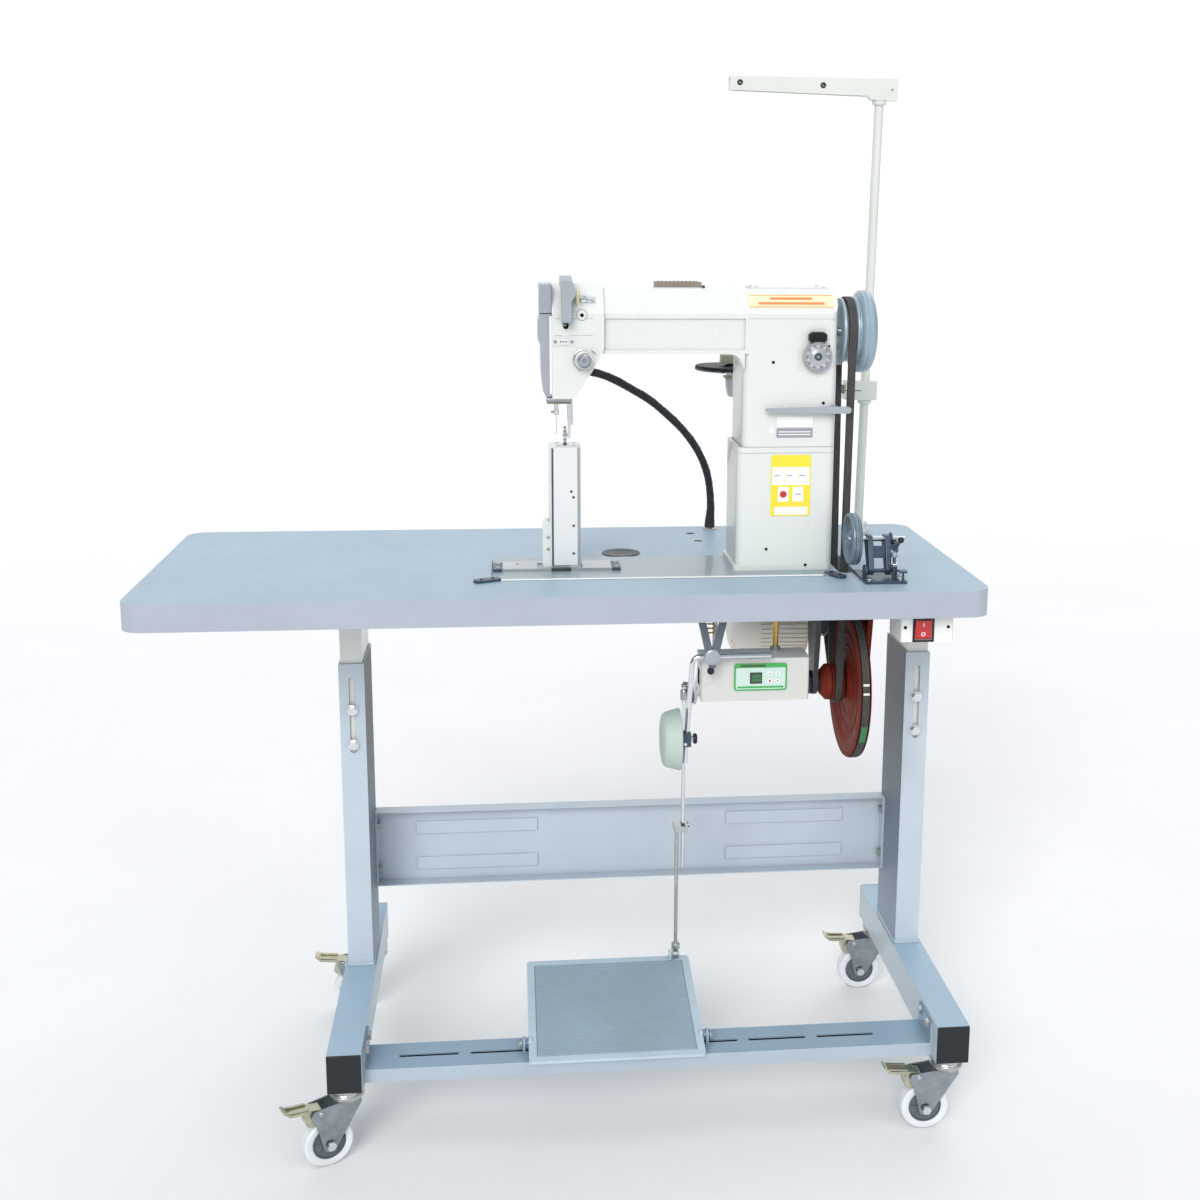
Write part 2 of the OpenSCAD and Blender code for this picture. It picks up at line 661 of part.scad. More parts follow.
module handwheel() color(c_grey) turned_x(hand_pulley_x0, shaft_y, shaft_z) polygon([
    [shaft_r, 2], [24, 2], [24, 0], [50, 0], [50, belt_x - hand_pulley_x0 - belt_w / 2 - 1.5],
    [hand_pulley_r - belt_air, belt_x - hand_pulley_x0 - belt_w / 2 - 0.5],
    [hand_pulley_r - belt_air, belt_x - hand_pulley_x0 + belt_w / 2 + 0.5],
    [52, belt_x - hand_pulley_x0 + belt_w / 2 + 1.5], [58, wheel_x0 - hand_pulley_x0],
    [hand_wheel_r, wheel_x0 - hand_pulley_x0 + 4], [hand_wheel_r, wheel_x1 - hand_pulley_x0 - 8],
    [54, wheel_x1 - hand_pulley_x0], [46, wheel_x1 - hand_pulley_x0 - 2],
    [40, wheel_x1 - hand_pulley_x0 - 14], [16, wheel_x1 - hand_pulley_x0 - 14],
    [14, wheel_x1 - hand_pulley_x0 - 6], [shaft_r, wheel_x1 - hand_pulley_x0 - 6]]);

module needle_bar() color(c_zinc) {
    along_z(needle_bar_r, bar_rest_z, 1262, needle_x, shaft_y);
    along_z(4.8, bar_rest_z - 7, bar_rest_z + 1, needle_x, shaft_y);
    along_z(needle_r, bar_rest_z - 33, bar_rest_z - 6, needle_x, shaft_y);
    translate([needle_x, shaft_y, bar_rest_z - 37]) cylinder(r1 = 0.1, r2 = needle_r, h = 4);
    along_x(1.8, needle_x - 8, needle_x - 4, shaft_y, bar_rest_z - 3);
}

module takeup_lever() color(c_zinc) difference() {
    slab_x(lever_x0, lever_x1) {
        translate([takeup_y, takeup_z]) circle(r = 7);
        polygon([[takeup_y, takeup_z - 4], [takeup_y, takeup_z + 5], [-126, takeup_z + 9],
            [-132, takeup_z + 6], [-132, takeup_z + 2], [-126, takeup_z + 1]]);
    }
    along_x(3 + fit, lever_x0 - 1, lever_x1 + 1, takeup_y, takeup_z);
    along_x(1.5, lever_x0 - 1, lever_x1 + 1, -128, takeup_z + 4.5);
}

module presser_bar() color(c_zinc) {
    along_z(presser_r, 1082, nose_z0 + 58, presser_x, shaft_y);
    span([8.5, shaft_y - 6, roller_z - 4], [13, shaft_y + 6, 1086]);
    along_x(4, 8.5, 13, shaft_y, roller_z);
    along_x(2, 1, 9, shaft_y, roller_z);
    span([8.5, shaft_y - 6, 1078], [17, shaft_y + 6, 1090]);
}

module roller_foot() color(c_zinc) difference() {
    along_x(roller_r, roller_x0, roller_x1, shaft_y, roller_z);
    along_x(2 + fit, roller_x0 - 1, roller_x1 + 1, shaft_y, roller_z);
}

module feed_wheel() color(c_zinc) {
    along_x(feed_r, roller_x0, roller_x1, shaft_y, feed_z);
    along_x(3, roller_x0, post_x1 - 0.5, shaft_y, feed_z);
}

module rotary_hook() color(c_zinc) difference() {
    union() {
        along_y(hook_r, shaft_y + 2.5, shaft_y + 16, needle_x, hook_z);
        along_y(4, shaft_y + 15, post_y1 + 6, needle_x, hook_z);
    }
    along_y(hook_r - 2, shaft_y + 1, shaft_y + 11, needle_x, hook_z);
}

module stitch_dial() color(c_zinc) {
    along_y(21.5, head_y0 - 13, head_y0 - 3, dial_x, dial_z);
    along_y(10, head_y0 - 3.1, head_y0 - 0.4, dial_x, dial_z);
    along_y(3, head_y0 - 3.1, head_y0 + wall, dial_x, dial_z);
}

module reverse_lever() color(c_grey) {
    slab_y(head_y0 - 17, head_y0 - 9) {
        polygon([[298, reverse_z - 2], [reverse_x, reverse_z - 5], [418, reverse_z - 5],
            [418, reverse_z + 5], [reverse_x, reverse_z + 5], [298, reverse_z + 3]]);
        translate([298, reverse_z + 0.5]) circle(r = 2.5);
        translate([418, reverse_z]) circle(r = 5);
    }
    along_y(7, head_y0 - 9.1, head_y0 - 0.4, reverse_x, reverse_z);
    along_y(3, head_y0 - 1, head_y0 + wall, reverse_x, reverse_z);
}

module tension_knob() color(c_zinc) {
    along_y(12.5, nose_y0 - 9, nose_y0 - 6, knob_x, knob_z);
    along_y(9.5, nose_y0 - 24, nose_y0 - 9 + eps, knob_x, knob_z);
    along_y(11, nose_y0 - 4, nose_y0 - 1, knob_x, knob_z);
    along_y(3, nose_y0 - 24, nose_y0 + wall, knob_x, knob_z);
}

// ---- presser lift cable ----

// Frame across the route at point i: two unit vectors square to its direction
function route_dir(p, i) = let (a = p[max(i - 1, 0)], b = p[min(i + 1, len(p) - 1)]) (b - a) / norm(b - a);
function side_of(d) = let (s = cross(d, [0, -1, 0])) s / norm(s);
function ring(p, i, r, n) = let (d = route_dir(p, i), u = side_of(d), v = cross(d, u))
    [for (k = [0 : n - 1]) p[i] + r * (cos(360 * k / n) * u + sin(360 * k / n) * v)];

module swept_tube(p, r, n) {
    last = len(p) - 1;
    polyhedron(points = [for (i = [0 : last]) each ring(p, i, r, n)],
        faces = concat([[for (k = [0 : n - 1]) n - 1 - k]], [[for (k = [0 : n - 1]) last * n + k]],
            [for (i = [0 : last - 1], k = [0 : n - 1])
                [i * n + k, i * n + (k + 1) % n, (i + 1) * n + (k + 1) % n, (i + 1) * n + k]]));
}

// Points along a smooth curve through the route's own points
function curve_at(a, b, c, d, t) = 0.5 * ((2 * b) + (c - a) * t + (2 * a - 5 * b + 4 * c - d) * t * t
    + (3 * b - a - 3 * c + d) * t * t * t);
function smooth(p, n) = let (m = len(p) - 1) concat(
    [for (i = [0 : m - 1], s = [0 : n - 1])
        curve_at(p[max(i - 1, 0)], p[i], p[i + 1], p[min(i + 2, m)], s / n)], [p[m]]);

module lift_conduit() color(c_black) swept_tube(smooth(cable_pts, 3), cable_r, 10);

// ---- drive ----

// Closed loop around two pulleys at a and b, in Y and Z
function loop_arc(c, r, from, to) = [for (i = [0 : belt_steps])
    let (t = from + (to - from) * i / belt_steps) c + r * [cos(t), sin(t)]];
function loop_points(a, ra, b, rb) = let (
    d = b - a,
    tilt = atan2(d[1], d[0]),
    off = acos((ra - rb) / norm(d)))
    concat(loop_arc(a, ra, tilt + off, tilt + 360 - off), loop_arc(b, rb, tilt - off, tilt + off));

module belt(x, a, ra, b, rb) slab_x(x - belt_w / 2, x + belt_w / 2) difference() {
    polygon(loop_points(a, ra + belt_t, b, rb + belt_t));
    polygon(loop_points(a, ra, b, rb));
}

module head_belt() color(c_black)
    belt(belt_x, [shaft_y, shaft_z], hand_pulley_r, [counter_y, counter_z], counter_small_r);

module motor_belt() color(c_black)
    belt(large_x, [counter_y, counter_z], counter_large_r, [motor_y, motor_z], motor_pulley_r);

// Groove floor and flanges of a belt pulley as an outline of radius and station
module pulley_rim(x, groove_r, flange_r, bore_r) turned_x(x - belt_w / 2 - 4, 0, 0) polygon([
    [bore_r, 0], [flange_r, 0], [flange_r, 2], [groove_r - belt_air, 3.5],
    [groove_r - belt_air, belt_w + 4.5], [flange_r, belt_w + 6], [flange_r, belt_w + 8],
    [bore_r, belt_w + 8]]);

module countershaft() color(c_maroon) translate([0, counter_y, counter_z]) {
    along_x(counter_r, counter_x0, counter_x1, 0, 0);
    pulley_rim(belt_x, counter_small_r, counter_small_r + 5, counter_r - 1);
    turned_x(398, 0, 0) polygon([[counter_r - 1, 0], [20, 0], [28, 10], [28, 18], [counter_r - 1, 18]]);
    turned_x(large_x - belt_w / 2 - 3.5, 0, 0) polygon([
        [counter_r - 1, 0], [30, 0], [34, 5], [86, 5], [90, 0], [counter_large_r + 6, 0],
        [counter_large_r + 6, 1.5], [counter_large_r - belt_air, 3],
        [counter_large_r - belt_air, belt_w + 4], [counter_large_r + 6, belt_w + 5.5],
        [counter_large_r + 6, belt_w + 7], [90, belt_w + 7], [86, 11], [34, 11],
        [30, belt_w + 7], [counter_r - 1, belt_w + 7]]);
}

module motor_pulley() color(c_dark) translate([0, motor_y, motor_z]) {
    pulley_rim(large_x, motor_pulley_r, motor_pulley_r + 5, motor_shaft_r - 1);
    along_x(motor_shaft_r, motor_x1 - 10, large_x + 14, 0, 0);
}

module motor_housing() color(c_cream) difference() {
    union() {
        along_x(motor_r - 3, motor_x0 + 8, motor_x1 - 24, motor_y, motor_z);
        along_x(motor_r - 8, motor_x0, motor_x0 + 9, motor_y, motor_z);
        along_x(motor_r, motor_x1 - 25, motor_x1, motor_y, motor_z);
        for (a = [45 : 15 : 315]) translate([motor_x0 + 44, motor_y, motor_z]) rotate([a, 0, 0])
            translate([0, -1, motor_r - 6]) cube([57, 2, 5]);
        span([motor_x0 + 20, motor_y - 28, motor_z + 40], [motor_x1 - 30, motor_y + 28, under_table]);
        belt_guard();
    }
    along_x(motor_shaft_r + fit, motor_x1 - 20, motor_x1 + 1, motor_y, motor_z);
}

// Drum over the motor pulley, open towards the large pulley
module belt_guard() difference() {
    along_x(guard_r, motor_x1 - 1, large_x + 26, motor_y, motor_z);
    along_x(guard_r - 3, motor_x1, large_x + 22, motor_y, motor_z);
    span([motor_x1, motor_y - 60, motor_z - 60], [large_x + 11, motor_y + 20, motor_z + 60]);
    for (z = [-36 : 8 : 36])
        span([large_x + 10, motor_y - 60, motor_z + z - 2], [large_x + 27, motor_y - 38, motor_z + z + 2]);
}

module reducer_bracket() color(c_maroon) difference() {
    union() {
        span([376, -108, under_table - 7], [410, -12, under_table]);
        span([462, -108, under_table - 7], [500, -12, under_table]);
        span([376, -14, under_table - 7], [500, 8, under_table]);
        for (x = [386, 466]) slab_x(x, x + 8) hanger_outline();
    }
    along_x(counter_r + fit, 370, 490, counter_y, counter_z);
}

module hanger_outline() {
    polygon([[-106, under_table - 6], [-96, 760], [counter_y - 15, counter_z],
        [counter_y + 15, counter_z], [-30, 760], [-16, under_table - 6]]);
    translate([counter_y, counter_z]) circle(r = 19);
}

module control_box() color(c_cream) {
    round_block([box_x0, box_y0, box_z0], [box_x1, box_y1, box_z1], 4);
    for (x = [box_x0 + 26, 318]) along_z(4, box_z1 - 1, under_table, x, box_y1 - 10);
    slab_x(box_x0, box_x0 + 4) {
        translate([lever_y, lever_z]) circle(r = 11);
        polygon([[box_y1 - 30, box_z0 + 1], [box_y1 - 30, box_z0 + 30], [box_y1 - 4, box_z0 + 30],
            [lever_y + 9, lever_z + 6], [lever_y - 6, lever_z - 9], [box_y1 - 6, box_z0 + 1]]);
    }
    along_x(4, 195, box_x0 + 1, lever_y, lever_z);
}

// ---- treadle linkage ----

module treadle_frame() translate([0, pivot_y, pivot_z]) rotate([treadle_tilt, 0, 0]) children();

module treadle_plate() color(c_frame) treadle_frame() difference() {
    union() {
        round_block([treadle_x0, treadle_front, 0], [treadle_x1, treadle_front + treadle_d, treadle_t], 6);
        for (x = [treadle_x0, treadle_x1 - 5]) slab_x(x, x + 5) {
            circle(r = 8);
            translate([-8, 0]) square([16, 2]);
        }
        slab_x(172, 176) {
            translate([joint_arm, joint_up]) circle(r = 7);
            translate([joint_arm - 7, treadle_t - 1]) square([14, joint_up - treadle_t + 1]);
        }
        along_x(rod_r, 175, 189, joint_arm, joint_up);
    }
    span([treadle_x0 + 12, treadle_front + 12, treadle_t - 1.5],
        [treadle_x1 - 12, treadle_front + treadle_d - 12, treadle_t + 1]);
    along_x(4 + fit, treadle_x0 - 1, treadle_x0 + 9, 0, 0);
    along_x(4 + fit, treadle_x1 - 9, treadle_x1 + 1, 0, 0);
}

module pitman_lower() color(c_zinc) difference() {
    union() {
        along_x(7, low_rod_x - 4, low_rod_x + 4, joint_y, joint_z);
        along_z(rod_r, joint_z + 5, clamp_plate_z + 4, low_rod_x, joint_y);
        span([low_rod_x - 5, joint_y - 16, clamp_plate_z],
            [up_rod_x + 7, joint_y + 16, clamp_plate_z + 8]);
    }
    along_x(rod_r + fit, low_rod_x - 5, low_rod_x + 5, joint_y, joint_z);
    span([up_rod_x - 3.5, joint_y - 12, clamp_plate_z - 1],
        [up_rod_x + 3.5, joint_y + 12, clamp_plate_z + 9]);
}

module pitman_upper() color(c_zinc) difference() {
    union() {
        along_x(7, up_rod_x - 2.5, up_rod_x + 2.5, joint_y, lever_z);
        along_z(rod_r, 350, lever_z - 5, up_rod_x, joint_y);
    }
    along_x(rod_r + fit, up_rod_x - 4, up_rod_x + 4, joint_y, lever_z);
}

module motor_lever() color(c_dark) difference() {
    union() {
        slab_x(196.5, 199.5) {
            polygon([[lever_y, lever_z - 9], [lever_y, lever_z + 9], [joint_y, lever_z + 6],
                [joint_y, lever_z - 6]]);
            translate([lever_y, lever_z]) circle(r = 9);
            translate([joint_y, lever_z]) circle(r = 6);
        }
        along_x(rod_r, 189, 197, joint_y, lever_z);
    }
    along_x(4 + fit, 196, 200, lever_y, lever_z);
}

// ---- knee lifter ----

module knee_bracket() color(c_grey) {
    slab_y(knee_y - 12, knee_y - 7) {
        polygon([[knee_x - 24, under_table], [knee_x - 13, under_table], [knee_x + 1, knee_z + 8],
            [knee_x + 9, knee_z], [knee_x - 9, knee_z]]);
        polygon([[knee_x + 24, under_table], [knee_x + 13, under_table], [knee_x - 1, knee_z + 8],
            [knee_x - 9, knee_z], [knee_x + 9, knee_z]]);
        translate([knee_x, knee_z]) circle(r = 12);
        translate([knee_x - 5, knee_z - 17]) square([10, 10]);
    }
    span([knee_x - 28, knee_y - 12, under_table - 4], [knee_x + 28, knee_y + 20, under_table]);
    along_y(5, knee_y - 8, knee_y + 7, knee_x, knee_z);
}

module knee_arm() color(c_white) difference() {
    union() {
        along_y(9, knee_y - 5.5, knee_y + 5.5, knee_x, knee_z);
        along_x(knee_rod_r, knee_bend_x + 2, 300, knee_y, knee_z - 2);
        along_y(6, knee_y - 5, knee_y + 5, knee_bend_x, knee_z - 2);
        knee_rod_axis() translate([0, 0, -knee_drop]) cylinder(r = knee_rod_r, h = knee_drop - 4.4);
    }
    along_y(5 + fit, knee_y - 6, knee_y + 6, knee_x, knee_z);
}

// Local frame at the top of the knee lever's hanging rod, +Z along the rod
module knee_rod_axis() translate([knee_bend_x, knee_y, knee_z - 2]) rotate([0, knee_slope, 0]) children();

module knee_pad() color(c_mint) difference() {
    union() {
        translate([pad_x, knee_y, pad_z]) rotate([0, 90, 0]) rotate_extrude($fn = 96) polygon([
            [0, 0], [20, 1.5], [34, 5.5], [39, 8.5], [41, 12], [46, 28], [45, 30], [0, 30]]);
        span([pad_x + 29, knee_y - 9, pad_z - 10], [pad_x + 46, knee_y + 9, pad_z + 10]);
        along_x(4, pad_x + 45, pad_x + 50, knee_y, pad_z);
        along_x(8, pad_x + 49, pad_x + 56, knee_y, pad_z);
    }
    knee_rod_axis() translate([0, 0, -knee_drop - 20]) cylinder(r = knee_rod_r + fit, h = knee_drop + 20);
}

// ---- thread stand, winder and switch ----

module on_pole() translate([pole_x, pole_y, table_h]) rotate([0, pole_lean, 0]) children();

module thread_pole() color(c_cream) {
    on_pole() along_z(pole_r, -table_t - 14, pole_len, 0, 0);
    along_z(18, table_h, table_h + 7, pole_x, pole_y);
    along_z(16, under_table - 7, under_table, pole_x, pole_y);
    on_pole() along_z(pole_r + 4, stand_clamp_h - 22, stand_clamp_h - 16.3, 0, 0);
    on_pole() along_z(pole_r + 4, stand_arm_h - 22, stand_arm_h - 15.3, 0, 0);
}

module thread_arm() color(c_cream) on_pole() difference() {
    slab_y(-10, 10) polygon([[-246, stand_arm_h - 7], [-246, stand_arm_h + 15],
        [28, stand_arm_h + 19], [28, stand_arm_h - 15], [-14, stand_arm_h - 15], [-20, stand_arm_h - 9]]);
    along_z(pole_r + fit, stand_arm_h - 40, pole_len + 0.5, 0, 0);
    span([-247, -8, stand_arm_h - 16], [-22, 8, stand_arm_h + 11]);
    for (x = [-230, -95]) along_y(3, -11, 11, x, stand_arm_h + 5);
}

module spool_tray() color(c_cream) on_pole() {
    difference() {
        union() {
            span([-36, -13, stand_clamp_h - 16], [18, 13, stand_clamp_h + 16]);
            span([tray_x - 8, -5, stand_clamp_h - 6], [-30, 5, stand_clamp_h + 8]);
        }
        along_z(pole_r + fit, stand_clamp_h - 17, stand_clamp_h + 17, 0, 0);
    }
    along_z(9, stand_clamp_h - 14, tray_h - 4, tray_x, 0);
    along_z(tray_r, tray_h - 5, tray_h, tray_x, 0);
    along_z(4, tray_h - 1, tray_h + 110, tray_x, 0);
}

module winder_base() color(c_dark) {
    difference() {
        span([434, -206, table_h], [496, -122, table_h + 4]);
        for (x = [442, 488]) along_z(3, table_h - 1, table_h + 5, x, -196);
    }
    for (x = [438, 482]) span([x, winder_pivot_y - 9, table_h + 3], [x + 4, winder_pivot_y + 9, 868]);
    for (x = [438, 482]) along_x(9, x, x + 4, winder_pivot_y, winder_pivot_z);
    along_x(3, 436, 488, winder_pivot_y, winder_pivot_z);
}

module winder_arm() color(c_dark) difference() {
    union() {
        slab_x(444, 452) winder_side();
        slab_x(470, 478) winder_side();
        span([444, winder_y - 16, 896], [478, winder_y - 11, 930]);
        span([444, winder_y - 16, 926], [478, winder_y + 12, 932]);
    }
    along_x(3 + fit, 440, 480, winder_pivot_y, winder_pivot_z);
    along_x(4 + fit, 440, 480, winder_y, winder_z);
}

module winder_side() {
    polygon([[winder_pivot_y - 8, winder_pivot_z], [winder_y - 16, 932], [winder_y + 12, 932],
        [winder_y + 10, winder_z - 8], [winder_pivot_y + 8, winder_pivot_z]]);
    translate([winder_pivot_y, winder_pivot_z]) circle(r = 8);
}

module winder_wheel() color(c_grey) {
    turned_x(winder_x - 8, winder_y, winder_z) polygon([[0, 3], [12, 3], [14, 6], [30, 6], [33, 0],
        [winder_r, 1], [winder_r, 15], [33, 16], [30, 10], [14, 10], [12, 16], [0, 16]]);
    along_x(4, winder_x, 490, winder_y, winder_z);
    along_x(3, 489, 504, winder_y, winder_z);
    along_x(9, 480, 483, winder_y, winder_z);
}

module switch_box() color(c_cream) difference() {
    round_block([486, -220, 776], [564, -150, under_table], 3);
    span([506, -221, 779], [532, -206, 813]);
    along_x(2 + fit, 503, 535, -214, 796);
}

module rocker_switch() color("red") {
    translate([0, -214, 796]) rotate([8, 0, 0]) slab_x(507, 531)
        polygon([[-8, -14], [-5.5, 0], [-8, 14], [1, 12], [4, 0], [1, -12]]);
    along_x(2, 504.5, 533.5, -214, 796);
}

// ---- assembly ----

side_frames();
foot_caps();
back_panel();
treadle_crossbar();
stand_bolts();
caster_fork(0);  // caster_fork_fl
caster_fork(1);  // caster_fork_fr
caster_fork(2);  // caster_fork_rl
caster_fork(3);  // caster_fork_rr
caster_wheel(0);  // caster_wheel_fl
caster_wheel(1);  // caster_wheel_fr
caster_wheel(2);  // caster_wheel_rl
caster_wheel(3);  // caster_wheel_rr
caster_brake(0);  // caster_brake_fl
caster_brake(1);  // caster_brake_fr
caster_brake(2);  // caster_brake_rl
caster_brake(3);  // caster_brake_rr
tabletop();
inner_legs();
machine_bed();
riser_column();
union() {
    arm_casting();
    takeup_boss();
}
face_cover();
takeup_guard();
post_body();
post_cover();
control_box();
motor_housing();
reducer_bracket();
switch_box();
thread_pole();
winder_base();
knee_bracket();
lift_conduit();
head_belt();
motor_belt();
main_shaft();
handwheel();
needle_bar();
takeup_lever();
presser_bar();
roller_foot();
feed_wheel();
rotary_hook();
stitch_dial();
reverse_lever();
tension_knob();
knee_arm();
knee_pad();
winder_arm();
winder_wheel();
treadle_plate();
pitman_lower();
pitman_upper();
motor_lever();
countershaft();
motor_pulley();
rocker_switch();
thread_arm();
spool_tray();
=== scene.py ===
import json
import math

import bmesh
import bpy
from mathutils import Matrix, Vector


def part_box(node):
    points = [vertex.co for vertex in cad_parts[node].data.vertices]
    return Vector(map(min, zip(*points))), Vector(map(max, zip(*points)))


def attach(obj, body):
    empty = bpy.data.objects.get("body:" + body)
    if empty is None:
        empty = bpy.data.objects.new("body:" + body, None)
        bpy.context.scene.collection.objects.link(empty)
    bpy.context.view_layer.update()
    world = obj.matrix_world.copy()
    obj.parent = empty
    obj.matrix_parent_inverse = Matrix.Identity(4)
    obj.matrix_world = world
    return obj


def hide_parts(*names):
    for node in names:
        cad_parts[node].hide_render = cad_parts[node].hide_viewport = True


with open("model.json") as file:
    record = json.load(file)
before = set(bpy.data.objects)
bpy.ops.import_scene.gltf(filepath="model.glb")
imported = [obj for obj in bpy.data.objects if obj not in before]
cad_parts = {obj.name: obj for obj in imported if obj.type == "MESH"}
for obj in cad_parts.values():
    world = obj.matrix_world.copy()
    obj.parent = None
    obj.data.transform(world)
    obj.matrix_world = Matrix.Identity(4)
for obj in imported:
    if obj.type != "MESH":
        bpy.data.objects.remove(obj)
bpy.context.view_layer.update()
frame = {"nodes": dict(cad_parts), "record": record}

MM = 0.001  # the row frame is in metres, the sizes below are in millimetres


# ---- materials ----


def linear(rgb):
    """An sRGB colour from 0 to 255 as a linear RGBA."""
    out = [c / 255 / 12.92 if c <= 10 else ((c / 255 + 0.055) / 1.055) ** 2.4 for c in rgb]
    return (*out, 1.0)


def scaled(colour, k):
    return (*[min(1.0, c * k) for c in colour[:3]], 1.0)


def grey(v):
    return (v, v, v, 1.0)


class Nodes:
    """Short calls for building the nodes of a material, or of the world."""

    def __init__(self, owner, shader="Principled BSDF", coords="Object"):
        self.owner = bpy.data.materials.new(owner) if isinstance(owner, str) else owner
        self.owner.use_nodes = True
        self.tree = self.owner.node_tree
        self.shader = self.tree.nodes[shader]
        self.coords = self.add("ShaderNodeTexCoord").outputs[coords]

    def add(self, kind, **settings):
        node = self.tree.nodes.new(kind)
        for key, value in settings.items():
            setattr(node, key, value)
        return node

    def link(self, a, b):
        self.tree.links.new(a, b)

    def noise(self, scale, detail=3.0, stretch=None):
        n = self.add("ShaderNodeTexNoise")
        n.inputs["Scale"].default_value = scale
        n.inputs["Detail"].default_value = detail
        source = self.coords
        if stretch:
            m = self.add("ShaderNodeMapping")
            m.inputs["Scale"].default_value = stretch
            self.link(source, m.inputs["Vector"])
            source = m.outputs["Vector"]
        self.link(source, n.inputs["Vector"])
        return n.outputs["Fac"]

    def ramp(self, fac, stops):
        r = self.add("ShaderNodeValToRGB")
        while len(r.color_ramp.elements) < len(stops):
            r.color_ramp.elements.new(0.5)
        for e, (pos, colour) in zip(r.color_ramp.elements, stops):
            e.position = pos
            e.color = colour
        self.link(fac, r.inputs["Fac"])
        return r.outputs["Color"]

    def mix(self, fac, a, b, mode="MIX"):
        m = self.add("ShaderNodeMix", data_type="RGBA", blend_type=mode)
        for source, name in ((fac, "Factor"), (a, "A"), (b, "B")):
            socket = next(s for s in m.inputs if s.name == name and s.enabled)
            if hasattr(source, "is_linked"):
                self.link(source, socket)
            else:
                socket.default_value = source
        return next(s for s in m.outputs if s.enabled)

    def set(self, **values):
        """Constants on the shader's own sockets, an underscore for each space in their names."""
        for key, value in values.items():
            self.shader.inputs[key.replace("_", " ")].default_value = value

    def axes(self):
        split = self.add("ShaderNodeSeparateXYZ")
        self.link(self.coords, split.inputs[0])
        return split.outputs

    def paint(self, colour, socket="Base Color"):
        self.link(colour, self.shader.inputs[socket])

    def maths(self, op, a, b):
        m = self.add("ShaderNodeMath", operation=op)
        for source, socket in ((a, m.inputs[0]), (b, m.inputs[1])):
            if hasattr(source, "is_linked"):
                self.link(source, socket)
            else:
                socket.default_value = source
        return m.outputs[0]

    def bump(self, height, strength, distance):
        b = self.add("ShaderNodeBump")
        b.inputs["Strength"].default_value = strength
        b.inputs["Distance"].default_value = distance
        self.link(height, b.inputs["Height"])
        self.link(b.outputs["Normal"], self.shader.inputs["Normal"])


def finish_of(name, rgb, rough=0.4, vary=0.05, grain=260.0, bump=0.12, crevice_shade=0.0, coat=0.0, metal=0.0,
              patch=9.0, spec=0.5, stretch=None):
    """A surface with patchy tone, uneven gloss, a fine grain and, where asked, painted shade that darkens its
    corners and creases.
    """
    n = Nodes(name)
    base = linear(rgb)
    patches = n.noise(patch, 4.0)
    colour = n.ramp(patches, [(0.3, scaled(base, 1 - vary)), (0.7, scaled(base, 1 + vary))])
    # crevice_shade: painted shade, darkening the colour where ambient occlusion finds corners and creases
    if crevice_shade:
        ao = n.add("ShaderNodeAmbientOcclusion", samples=6)
        ao.inputs["Distance"].default_value = 0.012
        painted_shade = n.maths("MULTIPLY", n.maths("SUBTRACT", 1.0, ao.outputs["AO"]), crevice_shade)
        colour = n.mix(painted_shade, colour, scaled(base, 0.45))
    n.paint(colour)
    fine = n.noise(grain, 2.0, stretch)
    uneven = min(0.17, 4 * vary)
    gloss = [(0.25, grey(rough * (1 - uneven))), (0.75, grey(rough * (1 + uneven)))]
    n.paint(n.ramp(n.noise(patch * 3.3, 3.0), gloss), "Roughness")
    n.bump(fine, bump, 0.0006)
    n.set(Metallic=metal, Coat_Weight=coat, Coat_Roughness=0.08, Specular_IOR_Level=spec)
    return n.owner


def laminate_finish():
    """Blue-grey table laminate: a mottled print under a finely pebbled surface."""
    n = Nodes("laminate")
    base = linear((161, 182, 197))
    cloud = n.ramp(n.noise(5.5, 5.0), [(0.3, scaled(base, 0.955)), (0.7, scaled(base, 1.045))])
    speck = n.ramp(n.noise(900.0, 2.0), [(0.35, scaled(base, 0.86)), (0.65, scaled(base, 1.1))])
    n.paint(n.mix(0.3, cloud, speck))
    n.paint(n.ramp(n.noise(40.0, 3.0), [(0.2, grey(0.36)), (0.8, grey(0.5))]), "Roughness")
    n.bump(n.noise(1400.0, 2.0), 0.16, 0.0004)
    return n.owner


def wrapped_finish():
    """Black cord covered with spiral tape."""
    n = Nodes("cable_wrap")
    base = linear((38, 36, 40))
    n.paint(n.ramp(n.noise(120.0, 4.0), [(0.3, scaled(base, 0.6)), (0.75, scaled(base, 1.7))]))
    n.set(Roughness=0.55)
    n.bump(n.noise(700.0, 3.0), 0.5, 0.0008)
    return n.owner


def belt_finish():
    """Black belt fabric, scuffed along its length."""
    n = Nodes("belt")
    base = linear((62, 60, 60))
    streaks = n.noise(60.0, 4.0, (18.0, 1.0, 1.0))
    n.paint(n.ramp(streaks, [(0.3, scaled(base, 0.55)), (0.7, scaled(base, 1.5))]))
    n.set(Roughness=0.72)
    n.bump(n.noise(1500.0, 2.0), 0.5, 0.0005)
    return n.owner


def leg_inside_finish():
    """Inner face of a leg: frame enamel near the foot, with painted shade that deepens to dark under the
    table.
    """
    n = Nodes("leg_inside")
    # painted shade: the colour darkens with height, towards the table's underside
    height = n.maths("MULTIPLY", n.axes()["Z"], 1.25)
    n.paint(n.ramp(height, [(0.25, linear((142, 160, 174))), (0.75, linear((72, 78, 84)))]))
    n.set(Roughness=0.5)
    n.bump(n.noise(520.0, 2.0), 0.1, 0.0006)
    return n.owner
